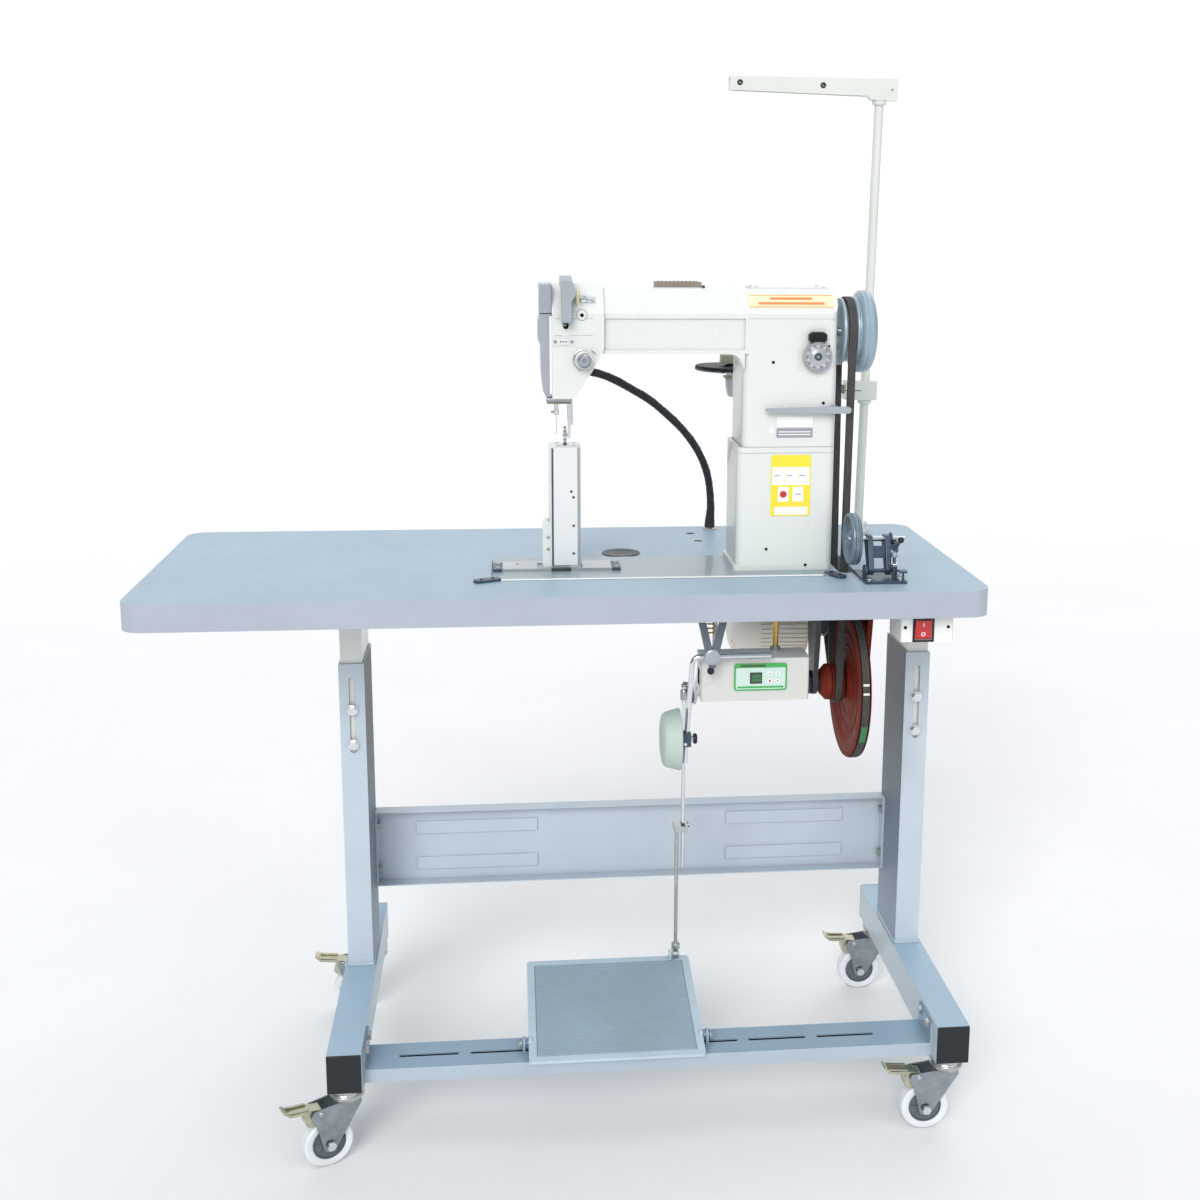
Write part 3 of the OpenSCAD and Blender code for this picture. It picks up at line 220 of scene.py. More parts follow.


# For each finish: material name, colour, roughness, tone variation, grain, bump,
# crevice shade (painted shade from ambient occlusion), coat, metallic, patch scale, specular level, grain
# stretch.
FINISHES = {
    "head": ("head_enamel", (224, 227, 224), 0.28, 0.008, 420, 0.02, 0.55, 0.35),
    "face_grey": ("face_cover_enamel", (166, 171, 182), 0.34, 0.05, 900, 0.1, 0.4, 0.3, 0.25),
    "guard_grey": ("guard_enamel", (168, 176, 182), 0.34, 0.05, 900, 0.1, 0.4, 0.3, 0.2),
    "wheel_grey": ("handwheel_enamel", (151, 171, 183), 0.34, 0.06, 700, 0.1, 0.3, 0.3, 0.15),
    "winder_grey": ("winder_wheel_enamel", (112, 128, 141), 0.3, 0.07, 700, 0.1, 0.3, 0.3, 0.35),
    # head_painted_side_shade: the head enamel darkened for the column's left side: painted shade
    "head_painted_side_shade": ("head_enamel_painted_side_shade", (186, 189, 188), 0.3, 0.01, 420, 0.02, 0.55, 0.3),
    # foot_top: a darker, bluer copy of the frame enamel for the feet's upward faces: painted shade
    "foot_top": ("foot_enamel_painted_shade", (160, 185, 205), 0.36, 0.05, 520, 0.16, 0.45, 0.2),
    "pedal": ("yellow_zinc", (190, 188, 166), 0.32, 0.14, 900, 0.12, 0.3, 0, 0.9, 45),
    # bar_painted_lit_front: a lighter copy of the crossbar enamel for its front face: painted light
    "bar_painted_lit_front": ("crossbar_enamel_painted_lit_front", (168, 182, 193), 0.36, 0.05, 520, 0.16, 0.45, 0.2),
    "frame": ("frame_enamel", (187, 199, 209), 0.36, 0.05, 520, 0.16, 0.45, 0.2),
    "inner": ("inner_leg_enamel", (228, 229, 224), 0.36, 0.05, 520, 0.16, 0.6, 0.2),
    "fork": ("fork_zinc", (152, 160, 165), 0.3, 0.16, 900, 0.12, 0.5, 0, 0.9, 45),
    "bar": ("crossbar_enamel", (141, 165, 184), 0.36, 0.06, 520, 0.16, 0.45, 0.2),
    "treadle": ("treadle_enamel", (186, 203, 215), 0.42, 0.06, 620, 0.2, 0.5),
    "treadle_mat": ("treadle_mat", (150, 170, 182), 0.6, 0.08, 900, 0.3, 0.6),
    "edge": ("table_edge_band", (170, 177, 189), 0.42, 0.03, 900, 0.08),
    # bed: white enamel like the head, its colour darkened to grey as a painted reflection
    "bed": ("bed_enamel_painted_reflection", (142, 158, 167), 0.34, 0.012, 520, 0.03, 0.35, 0.3),
    "steel": ("polished_steel", (205, 208, 212), 0.2, 0.06, 1600, 0.06, 0, 0, 1),
    "brushed": ("brushed_steel", (188, 192, 196), 0.34, 0.08, 900, 0.14, 0, 0, 1, 9, 0.5, (1, 14, 1)),
    "zinc": ("zinc_plate", (186, 190, 188), 0.36, 0.16, 900, 0.12, 0.3, 0, 0.9, 45),
    "post_plate": ("post_plate", (238, 240, 241), 0.3, 0.03, 1200, 0.04, 0.3, 0, 0.35),
    "chrome": ("bright_plate", (222, 224, 228), 0.13, 0.04, 1200, 0.03, 0, 0, 1),
    "brass": ("yellow_brass", (196, 168, 92), 0.28, 0.12, 900, 0.1, 0, 0, 1, 40),
    "iron": ("hanger_iron", (70, 72, 74), 0.45, 0.14, 800, 0.2, 0.4, 0, 0.5, 30),
    "cover_brown": ("top_cover_brown", (138, 126, 116), 0.5, 0.1, 900, 0.3, 0.4, 0, 0, 40),
    "dark_steel": ("dark_steel", (74, 90, 106), 0.36, 0.14, 800, 0.18, 0.3, 0, 0.55, 30),
    "black": ("black_plastic", (12, 21, 30), 0.5, 0.14, 1100, 0.25, 0, 0, 0, 24),
    "black_gloss": ("black_gloss", (20, 20, 23), 0.24, 0.1, 900, 0.05),
    # hole: near-black for the insides of holes, slots and vents, painted shade where they would be dark; it
    # also colours dark seam lines and the dial's dark ticks
    "hole": ("hole_painted_shade_and_dark_lines", (14, 14, 15), 0.9, 0.1, 600, 0.1, 0, 0, 0, 9, 0.1),
    "cream": ("box_enamel", (209, 208, 205), 0.38, 0.035, 520, 0.16, 0.4, 0.1),
    "motor": ("motor_casting", (246, 239, 227), 0.55, 0.04, 420, 0.25, 0.12),
    "pole": ("pole_enamel", (222, 224, 218), 0.36, 0.03, 600, 0.08, 0, 0.2),
    "switchbox": ("switch_box_plastic", (238, 238, 234), 0.42, 0.02, 900, 0.1),
    "maroon": ("maroon_enamel", (116, 42, 29), 0.6, 0.12, 420, 0.3, 0.45, 0, 0, 20, 0.12),
    "pad": ("pad_rubber", (180, 196, 187), 0.55, 0.04, 900, 0.22, 0.3, 0, 0, 14),
    "bracket": ("knee_bracket_enamel", (100, 108, 118), 0.4, 0.1, 800, 0.18, 0.4, 0, 0.3, 30),
    "tread": ("wheel_nylon", (222, 226, 230), 0.45, 0.05, 700, 0.12, 0.4, 0, 0, 40),
    "hub": ("wheel_hub", (92, 100, 110), 0.45, 0.12, 700, 0.15, 0.4, 0, 0, 40),
    "red": ("red_rocker", (196, 34, 34), 0.25, 0.05, 900, 0.04, 0, 0.4),
    "green": ("panel_green", (70, 170, 84), 0.4, 0.05, 900, 0.05),
    "panel": ("panel_white", (200, 222, 214), 0.35, 0.03, 900, 0.04),
    "lcd": ("display_green", (52, 88, 62), 0.18, 0.12, 900, 0.02, 0, 0.5, 0, 60),
    "label_white": ("label_white", (246, 247, 247), 0.42, 0.02, 900, 0.03),
    "label_grey": ("label_grey", (160, 158, 168), 0.4, 0.08, 900, 0.04, 0, 0, 0.2, 90),
    "label_yellow": ("label_yellow", (248, 226, 60), 0.4, 0.03, 900, 0.03),
    "label_cream": ("label_cream", (250, 236, 190), 0.35, 0.04, 900, 0.03, 0, 0.4),
    "label_orange": ("label_orange", (228, 140, 78), 0.35, 0.05, 900, 0.03, 0, 0.4),
    "khaki": ("khaki_plate", (150, 156, 132), 0.45, 0.08, 700, 0.15, 0.4, 0, 0.2),
    "spring": ("spring_wire", (210, 202, 168), 0.25, 0.08, 900, 0.05, 0, 0, 1),
    "green_mark": ("belt_green", (52, 120, 74), 0.6, 0.1, 1200, 0.3, 0, 0, 0, 60),
    "white_mark": ("belt_white", (226, 228, 226), 0.6, 0.06, 1200, 0.3, 0, 0, 0, 60),
}
M = {key: finish_of(*row) for key, row in FINISHES.items()}
M.update(leg_inside=leg_inside_finish(), laminate=laminate_finish(), cable=wrapped_finish(),
         belt=belt_finish())


# ---- mesh building ----


def move(x, y, z):
    return Matrix.Translation((x, y, z))


def turn(degrees, axis):
    return Matrix.Rotation(math.radians(degrees), 4, axis)


def arc(cx, cy, r, start, step, count):
    """Points on a circle, from start degrees on."""
    angles = [math.radians(start + step * i) for i in range(count)]
    return [(cx + r * math.cos(a), cy + r * math.sin(a)) for a in angles]


def toothed(cx, cy, radii, count):
    """Outline of a knurled disc, its radii taken in turn."""
    out = []
    for i in range(count):
        a, k = math.tau * i / count, radii[i % len(radii)]
        out.append((cx + k * math.cos(a), cy + k * math.sin(a)))
    return out


def mirrored(half, *middle):
    """A profile whose second half is its first one, the other way round."""
    return half + list(middle) + [(p, -q) for p, q in half[::-1]]


TURN = {"x": turn(90, "Y"), "y": turn(-90, "X"), "z": Matrix.Identity(4)}


def across(pts, close=False):
    """Two directions across each point of a path, that don't twist along it."""
    out = []
    side, count = None, len(pts)
    for i in range(count):
        after = pts[(i + 1) % count] if close else pts[min(i + 1, count - 1)]
        before = pts[i - 1] if close else pts[max(i - 1, 0)]
        d = (after - before).normalized()
        if side is None:
            side = d.orthogonal().normalized()
        side = (side - d * side.dot(d)).normalized()
        out.append((side, d.cross(side)))
    return out


class Shape:
    """A mesh being built in millimetres, from parts that each have a finish, by its name in M."""

    def __init__(self, name):
        self.name = name
        self.bm = bmesh.new()
        self.mats = []

    def _paint(self, faces, mat):
        if mat not in self.mats:
            self.mats.append(mat)
        for f in faces:
            f.material_index = self.mats.index(mat)

    def _grow(self, build, mat, matrix=None):
        before = set(self.bm.faces)
        old = set(self.bm.verts)
        build()
        if matrix is not None:
            bmesh.ops.transform(self.bm, matrix=matrix, verts=[v for v in self.bm.verts if v not in old])
        new = [f for f in self.bm.faces if f not in before]
        self._paint(new, mat)
        return new

    def box(self, lo, hi, mat, matrix=None):
        lo, hi = Vector(lo), Vector(hi)
        place = Matrix.Translation((lo + hi) / 2) @ Matrix.Diagonal((*(hi - lo), 1))
        self._grow(lambda: bmesh.ops.create_cube(self.bm, size=1, matrix=place), mat, matrix)
        return self

    def turned(self, profile, axis, origin, mat, segs=48, matrix=None):
        """Turns (radius, station) points about an axis; a profile off the axis at both ends is closed."""
        place = Matrix.Translation(origin) @ TURN[axis]
        closed = min(profile[0][0], profile[-1][0]) > 1e-6

        def build():
            rings = []
            for r, t in profile:
                if r < 1e-6:
                    rings.append([self.bm.verts.new(place @ Vector((0, 0, t)))])
                    continue
                rings.append([self.bm.verts.new(place @ Vector((r * math.cos(a), r * math.sin(a), t)))
                              for a in (2 * math.pi * i / segs for i in range(segs))])
            pairs = list(zip(rings, rings[1:])) + ([(rings[-1], rings[0])] if closed else [])
            for a, b in pairs:
                for i in range(segs):
                    j = (i + 1) % segs
                    quad = [a[i % len(a)], a[j % len(a)], b[j % len(b)], b[i % len(b)]]
                    face = list(dict.fromkeys(quad))
                    if len(face) > 2:
                        self.bm.faces.new(face)

        self._grow(build, mat, matrix)
        return self

    def disc(self, r, axis, origin, length, mat, segs=40, chamfer=0.0, matrix=None):
        c = min(chamfer, r / 2, abs(length) / 2)
        s = 1 if length > 0 else -1
        self.turned([(0, 0), (r - c, 0), (r, c * s), (r, length - c * s), (r - c, length), (0, length)], axis,
                    origin, mat, segs, matrix=matrix)
        return self

    def ring(self, r0, r1, a, b, axis, origin, mat, segs=48, matrix=None):
        """A square-edged ring from station a to b, solid if r0 is 0."""
        return self.turned([(r0, a), (r1, a), (r1, b), (r0, b)], axis, origin, mat, segs, matrix)

    def prism(self, points, axis, a, b, mat, matrix=None):
        """Extrudes an outline along an axis: y and z for axis x, x and z for y, x and y for z."""
        def put(p, q, t):
            return {"x": (t, p, q), "y": (p, t, q), "z": (p, q, t)}[axis]

        def build():
            low = [self.bm.verts.new(put(p, q, a)) for p, q in points]
            high = [self.bm.verts.new(put(p, q, b)) for p, q in points]
            self.bm.faces.new(low)
            self.bm.faces.new(high[::-1])
            n = len(points)
            for i in range(n):
                self.bm.faces.new([low[i], low[(i + 1) % n], high[(i + 1) % n], high[i]])

        self._grow(build, mat, matrix)
        return self

    def tube(self, path, radius, mat, segs=12, close=False):
        """A round bar along a path; radius is one number, or one for each point."""
        pts = [Vector(p) for p in path]
        radii = radius if isinstance(radius, (list, tuple)) else [radius] * len(pts)
        count = len(pts)

        def build():
            rings = [[self.bm.verts.new(p + radius * (math.cos(a) * side + math.sin(a) * up))
                      for a in (2 * math.pi * k / segs for k in range(segs))] for p, radius,
                     (side, up) in zip(pts, radii, across(pts, close))]
            for i in range(count if close else count - 1):
                a, b = rings[i], rings[(i + 1) % count]
                for k in range(segs):
                    j = (k + 1) % segs
                    self.bm.faces.new([a[k], a[j], b[j], b[k]])
            if not close:
                self.bm.faces.new(rings[0][::-1])
                self.bm.faces.new(rings[-1])

        self._grow(build, mat)
        return self

    def swing(self, degrees, centre):
        """Turns everything built so far about the vertical through centre."""
        bmesh.ops.rotate(self.bm, cent=centre, matrix=turn(degrees, "Z").to_3x3(), verts=self.bm.verts)

    def bolt(self, origin, axis, sign, r, mat, kind="hex", height=None):
        """A fastener's head that stands on origin: hex, slot or dome."""
        h = height or r * 0.7
        place = Matrix.Translation(origin) @ TURN[axis] @ turn(0 if sign > 0 else 180, "X")
        if kind == "hex":
            self.turned([(0, 0), (r, 0), (r, h * 0.8), (r * 0.86, h), (0, h)], "z", (0, 0, 0), mat, 6,
                        matrix=place)
        elif kind == "slot":
            self.turned([(r, 0), (r, h * 0.6), (r * 0.8, h), (0, h)], "z", (0, 0, 0), mat, 24, matrix=place)
            # The slot is a near-black strip on the head: painted shade.
            self.box((-r * 0.8, -r * 0.11, h * 0.96), (r * 0.8, r * 0.11, h * 1.02), "hole", place)
        else:
            steps = [(r * p, h * q) for p, q in arc(0, 0, 1, 0, 15, 7)]
            self.turned(steps, "z", (0, 0, 0), mat, 24, matrix=place)
        return self

    def done(self, body, slot, bevel=0.0, segments=2, angle=32, replaces=()):
        """Makes the object, in metres, riding on a body."""
        bm = self.bm
        bmesh.ops.remove_doubles(bm, verts=bm.verts, dist=0.0005)
        bmesh.ops.recalc_face_normals(bm, faces=bm.faces)
        return settle(self.name, bm, self.mats, body, bevel, segments, angle, replaces)


def settle(name, bm, mats, body, bevel, segments, angle, replaces):
    """Turns a millimetre bmesh into a finished object."""
    limit = math.radians(angle)
    for e in bm.edges:
        e.smooth = not (len(e.link_faces) == 2 and e.calc_face_angle(0) > limit)
    for f in bm.faces:
        f.smooth = True
    bmesh.ops.scale(bm, vec=(MM,) * 3, verts=bm.verts)
    mesh = bpy.data.meshes.new(name)
    bm.to_mesh(mesh)
    bm.free()
    for mat in mats:
        mesh.materials.append(M[mat])
    obj = bpy.data.objects.new(name, mesh)
    bpy.context.collection.objects.link(obj)
    if bevel:
        mod = obj.modifiers.new("edges", "BEVEL")
        mod.width = bevel * MM
        mod.segments = segments
        mod.limit_method = "ANGLE"
        mod.angle_limit = limit
        mod.use_clamp_overlap = True
        mod.harden_normals = True
    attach(obj, body)
    if replaces:
        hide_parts(*replaces)
    return obj


RECORD = frame["record"]
BODY_OF = {node: body for body, nodes in RECORD["behaviour"]["bodies"].items() for node in nodes}


def corners(node):
    """Lowest and highest corner of a CAD node, in millimetres."""
    lo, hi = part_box(node)
    return Vector(lo) / MM, Vector(hi) / MM


def middle(node):
    """Centre of a CAD node, in millimetres."""
    return [(a + b) / 2 for a, b in zip(*corners(node))]


def wheel(node):
    """Both ends in X, centre in Y and Z, and radius of a CAD node that turns about X."""
    lo, hi = corners(node)
    return lo.x, hi.x, *middle(node)[1:], (hi.z - lo.z) / 2


def rounded(ax, az, bx, bz, r):
    """Outline of a rectangle with round corners."""
    out = []
    for cx, cz, start in ((bx - r, bz - r, 0), (ax + r, bz - r, 90), (ax + r, az + r, 180),
                          (bx - r, az + r, 270)):
        out += arc(cx, cz, r, start, 18, 6)
    return out


def refined(node, mat, bevel=0.6, segments=2, angle=30, paint=None, keep=None):
    """Stands for a CAD node, or for the faces of it to keep, with its edges broken.

    paint takes a face's centre and normal, and says which other finish it has.
    """
    bm = bmesh.new()
    bm.from_mesh(frame["nodes"][node].data)
    bmesh.ops.scale(bm, vec=(1 / MM,) * 3, verts=bm.verts)
    bmesh.ops.remove_doubles(bm, verts=bm.verts, dist=0.002)
    if keep:
        spare = [f for f in bm.faces if not keep(f.calc_center_median())]
        bmesh.ops.delete(bm, geom=spare, context="FACES")
    bmesh.ops.dissolve_limit(bm, angle_limit=math.radians(0.6), verts=bm.verts, edges=bm.edges,
                             delimit={"NORMAL"})
    bmesh.ops.recalc_face_normals(bm, faces=bm.faces)
    mats = [mat]
    for f in bm.faces:
        other = paint and paint(f.calc_center_median(), f.normal) or mat
        if other not in mats:
            mats.append(other)
        f.material_index = mats.index(other)
    return settle("detail_" + node, bm, mats, BODY_OF[node], bevel, segments, angle,
                  () if keep else (node,))


# ---- camera, floor and light ----


def camera():
    """Stands where the photographer stood: a little left of the middle, 2.3 m in front."""
    yaw, pitch, roll = 0.1065, 0.1961, 0.0081
    ahead = Vector((math.sin(yaw) * math.cos(pitch), math.cos(yaw) * math.cos(pitch), -math.sin(pitch)))
    level = Vector((math.cos(yaw), -math.sin(yaw), 0.0))
    up = level.cross(ahead)
    right = level * math.cos(roll) + up * math.sin(roll)
    top = up * math.cos(roll) - level * math.sin(roll)
    data = bpy.data.cameras.new("camera")
    data.sensor_width = 36.0
    data.lens = 45.87
    data.shift_x, data.shift_y = -0.0584, -0.0547
    data.clip_end = 50.0
    cam = bpy.data.objects.new("camera", data)
    cam.matrix_world = move(-0.07867, -2.32712, 1.36182) @ Matrix((right, top, -ahead)).transposed().to_4x4()
    bpy.context.collection.objects.link(cam)
    bpy.context.scene.camera = cam


def floor():
    """A pale floor that curves up into a backdrop behind the object."""
    n = Nodes("studio_floor")
    n.paint(n.ramp(n.noise(2.0, 3.0), [(0.3, grey(0.84)), (0.7, grey(0.87))]))
    n.set(Roughness=0.8, Specular_IOR_Level=0.15)
    bend = arc(4.2, 1.8, 1.8, -90, 7.5, 13)
    profile = [(-12.0, 0.0)] + bend + [(6.0, 4.6)]
    bm = bmesh.new()
    rows = [[bm.verts.new((x, y, z)) for x in (-11.0, 11.0)] for y, z in profile]
    for low, high in zip(rows, rows[1:]):
        bm.faces.new([low[0], low[1], high[1], high[0]]).smooth = True
    mesh = bpy.data.meshes.new("floor")
    bm.to_mesh(mesh)
    bm.free()
    mesh.materials.append(n.owner)
    obj = bpy.data.objects.new("floor", mesh)
    bpy.context.collection.objects.link(obj)


def sun(name, towards, strength, spread, colour=(1, 1, 1)):
    """A soft distant light that shines from the given direction."""
    data = bpy.data.lights.new(name, "SUN")
    data.energy = strength * math.pi
    data.angle = math.radians(spread)
    data.color = colour
    obj = bpy.data.objects.new(name, data)
    obj.matrix_world = Vector(towards).to_track_quat("Z", "Y").to_matrix().to_4x4()
    bpy.context.collection.objects.link(obj)


def studio():
    """Bright overhead, darker towards the sides, with a soft key from the front left."""
    world = bpy.data.worlds.new("studio")
    bpy.context.scene.world = world
    n = Nodes(world, "Background", "Generated")
    axes = n.axes()
    height = n.ramp(axes["Z"], [(0.05, (0.34, 0.36, 0.38, 1)), (0.7, (0.80, 0.84, 0.88, 1))])
    across = n.maths("ABSOLUTE", axes["X"], 0.0)
    sides = n.ramp(across, [(0.45, grey(1)), (0.95, (0.35, 0.35, 0.36, 1))])
    n.paint(n.mix(1.0, height, sides, "MULTIPLY"), "Color")
    n.set(Strength=0.82)
    sun("key", (-0.3, -0.85, 0.5), 0.6, 30, (1, 0.99, 0.97))
    sun("fill", (0.6, -0.7, 0.35), 0.1, 50, (0.95, 0.98, 1))
    sun("top", (0.1, 0.1, 1.0), 0.16, 60)
    sun("rim", (0.35, 0.85, 0.45), 0.2, 50)
    bpy.context.scene.view_settings.view_transform = "Standard"
    bpy.context.scene.view_settings.look = "None"


camera()
floor()
studio()


# ---- stand ----

feet_lo, feet_hi = corners("side_frames")
table_lo, table_hi = corners("tabletop")
fork_box = {c: corners("caster_fork_" + c) for c in ("fl", "fr", "rl", "rr")}
CASTER_TURN = {"fl": 25}  # degrees that a caster rests at
HEAD_R, TRAIL, WHEEL_R = 26, 33, 37.5  # swivel head, trail of the axle, wheel


def stand():
    """The welded side frames, crossbar, panel and inner legs."""
    middle_x = (feet_lo.x + feet_hi.x) / 2

    def sides(c, n):
        # Inner faces of the legs, facing the middle, take the painted-shade finish.
        if c.z > 183 and n.x * (1 if c.x < middle_x else -1) > 0.9:
            return "leg_inside"
        # Upward faces of the feet: painted shade, a darker copy of the frame enamel.
        return "foot_top" if n.z > 0.9 and c.z < 190 else None

    # The crossbar's front face takes a lighter copy of its enamel: painted light.
    def bar_painted_lit_front(c, n):
        return "bar_painted_lit_front" if n.y < -0.9 and abs(c.y + 233) < 1 else None

    def plates(c, n):
        return "chrome" if c.y < 24.5 and c.z < 640 else None

    refined("side_frames", "frame", 1.6, 3, paint=sides)
    refined("foot_caps", "black", 2.4, 3)
    refined("back_panel", "frame", 1.2, 2)
    refined("treadle_crossbar", "bar", 1.2, 3, paint=bar_painted_lit_front)
    lo, hi = corners("treadle_crossbar")
    shade = Shape("crossbar_slot_shade")
    shade.box((lo.x + 8, -206, 138.6), (hi.x - 8, -188, 139.6), "hole")
    shade.done("stand", "stand_paint", 0.2)
    refined("stand_bolts", "zinc", 0.5, 2)
    refined("inner_legs", "inner", 1.0, 2, paint=plates)
    weld = Shape("leg_welds")
    for x in (feet_lo.x + 25, feet_hi.x - 25):
        ring = [(x - 20, 24), (x + 20, 24), (x + 20, 150), (x - 20, 150)]
        path = []
        for (ax, ay), (bx, by) in zip(ring, ring[1:] + ring[:1]):
            for i in range(16):
                t = i / 16
                wob = 0.35 * math.sin(i * 2.6 + ax)
                path.append((ax + (bx - ax) * t + wob, ay + (by - ay) * t + wob, 182 + 0.6 + abs(wob)))
        weld.tube(path, 2.0, "frame", 8, close=True)
    weld.done("stand", "stand_paint")


def caster(c):
    """One swivel caster: pressed fork, wheel with spokes, brake pedal and axle nuts."""
    hi = fork_box[c][1]
    x, y = hi.x - HEAD_R, hi.y - HEAD_R
    wx, r = x - TRAIL, WHEEL_R
    refined("caster_brake_" + c, "pedal", 0.7, 2)
    fork = Shape("caster_fork_pressed_" + c)
    fork.turned([(6.5, 121.3), (25.2, 121.3), (26, 120), (26, 113.6), (25, 112.4), (6.5, 112.4)], "z",
                (x, y, 0), "zinc", 56)
    fork.turned([(11.6, 109), (24.6, 109), (25.6, 107.6), (25.4, 103), (22, 98.6), (11.6, 98.6)], "z",
                (x, y, 0), "zinc", 56)
    fork.box((x - 20, y - 15, 97), (x + 14, y + 15, 99.6), "fork")
    cheek = [(-60, 88), (-56, 95), (-22, 100), (16, 100), (17, 94), (-22.5, 32), (-26, 27.5), (-33, 26),
             (-40, 27.5), (-43, 33), (-50, 62)]
    for lo_y in (-16.5, 14):
        fork.prism([(x + px, pz) for px, pz in cheek], "y", y + lo_y, y + lo_y + 2.5, "fork")
    tyre = Shape("caster_tyre_" + c)
    half = 11.8
    tread = [(r - 13, 2 - half), (r - 8, -half), (r - 3, -half), (r - 0.8, 1.6 - half), (r, 5 - half)]
    tyre.turned(mirrored(tread), "y", (wx, y, r), "tread", 64)
    hub = [(4.1, -half), (9, -half), (10, 1.5 - half), (12, 3.2 - half), (r - 14.5, 3.2 - half),
           (r - 13.4, 0.8 - half), (r - 12, 1.2 - half)]
    tyre.turned(mirrored(hub, (r - 12.5, 0)), "y", (wx, y, r), "hub", 48)
    for i in range(8):
        spoke = move(wx, y, r) @ turn(45 * i, "Y")
        for s in (-1, 1):
            tyre.box((11, s * (half - 3.4) - 1.2, -1.0), (r - 14.2, s * (half - 3.4) + 1.2, 1.0), "hub",
                     spoke)
    trim = Shape("caster_trim_" + c)
    for s in (-1, 1):
        trim.bolt((wx, y + s * 19.3, r), "y", s, 7.5, "chrome", "hex", 5)
        trim.bolt((x - 45, y + s * 16.5, 90), "y", s, 4.2, "zinc", "dome", 1.6)
    race = [(22, 108.6), (24.6, 109.2), (25.4, 110.6), (24.6, 112), (22, 112.4)]
    trim.turned(race, "z", (x, y, 0), "chrome", 48)
    lip = Shape("brake_lip_" + c)
    tip = move(x - 62, y, 98) @ turn(4, "Y") @ move(-x + 62, -y, -98)
    for s in (-1, 1):
        lip.box((x - 97, y + s * 8 - 2.2, 98), (x - 62, y + s * 8 + 2.2, 100.6), "pedal", tip)
    for piece in (fork, tyre, trim, lip):
        piece.swing(CASTER_TURN.get(c, 0), (x, y, 0))
    fork.done("fork_" + c, "zinc", 0.7, replaces=("caster_fork_" + c,))
    tyre.done("wheel_" + c, "wheel_white", replaces=("caster_wheel_" + c,))
    trim.done("fork_" + c, "zinc", 0.3)
    lip.done("brake_" + c, "zinc", 0.6)


stand()
for corner in fork_box:
    caster(corner)


# ---- table ----


def table():
    """The tabletop, the trims of its holes and the cushions beside the bed."""
    top = table_hi.z
    spare = [Vector((225, 190)), Vector((230, 126))]
    band_start = 31  # in from the edge, the radius of the table's corners

    def band(c, n):
        if abs(n.z) >= 0.4:
            return None
        # Walls of the spare holes are near-black: painted shade inside the holes.
        if min((c.xy - at).length for at in spare) < 9:
            return "hole"
        return "edge" if max(abs(c.x) - table_hi.x, abs(c.y) - table_hi.y) > -band_start else None

    refined("tabletop", "laminate", 2.2, 4, paint=band)
    holes = Shape("table_hole_trims")
    for x, y in spare:
        holes.turned([(6.9, -3), (6.9, 0.4), (8.4, 0.5), (8.8, 0.05), (7.4, 0), (7.4, -3)], "z", (x, y, top),
                     "zinc", 32)
    cap = [(0, -2.4), (22, -2.4), (27, -1.6), (27.9, 0.4), (29.6, 0.5), (30.2, 0.9), (29.4, 1.7), (26.5, 1.8),
           (24, 1.2), (0, 1.0)]
    holes.turned(cap, "z", (96, 37, top), "iron", 48)
    ferrule = [(6.9, 0), (12.5, 0), (12.5, 1.2), (9.6, 3.0), (6.9, 3.4)]
    holes.turned(ferrule, "z", (263, 232, top), "zinc", 32)
    holes.done("table", "black_plastic")
    pads = Shape("bed_corner_cushions")
    outline = [(s * 17 + 3.5 * p, 8 * q) for s in (-1, 1) for p, q in arc(0, 0, 1, -90 * s, 22.5, 9)]
    for x, y, angle in ((-112, -148, 0.42), (402, -147, math.pi - 0.42 - 0.75)):
        place = move(x, y, top) @ turn(math.degrees(angle), "Z")
        pads.prism(outline, "z", 0.1, 4.2, "dark_steel", place)
        for screw in (-9, 9):
            pads.disc(2.4, "z", (screw, 0, 3.8), 1.0, "hole", 16, matrix=place)
    pads.done("table", "black_plastic", 0.9, 3)


# ---- machine head ----

bed_lo, bed_hi = corners("machine_bed")
col_lo, col_hi = corners("riser_column")
post_lo, post_hi = corners("post_body")
front_y = col_lo.y  # front face of the column
nose_y = corners("arm_casting")[0].y  # front face of the nose


def castings():
    """Bed, column, arm, covers and post."""
    # Left-facing side faces of column and arm take the darker copy of the head enamel: painted shade.
    def column_side_shade(c, n):
        return "head_painted_side_shade" if n.x < -0.9 and 250 < c.x < 290 else None

    # The bed's grey colour is a painted reflection over its white enamel.
    refined("machine_bed", "bed", 1.6, 3)
    refined("riser_column", "head", 1.2, 3, paint=column_side_shade)
    refined("arm_casting", "head", 2.6, 4, paint=column_side_shade)
    refined("face_cover", "face_grey", 1.6, 3)
    refined("takeup_guard", "guard_grey", 1.4, 3)
    refined("post_body", "head", 1.0, 3)
    refined("post_cover", "post_plate", 0.5, 2)


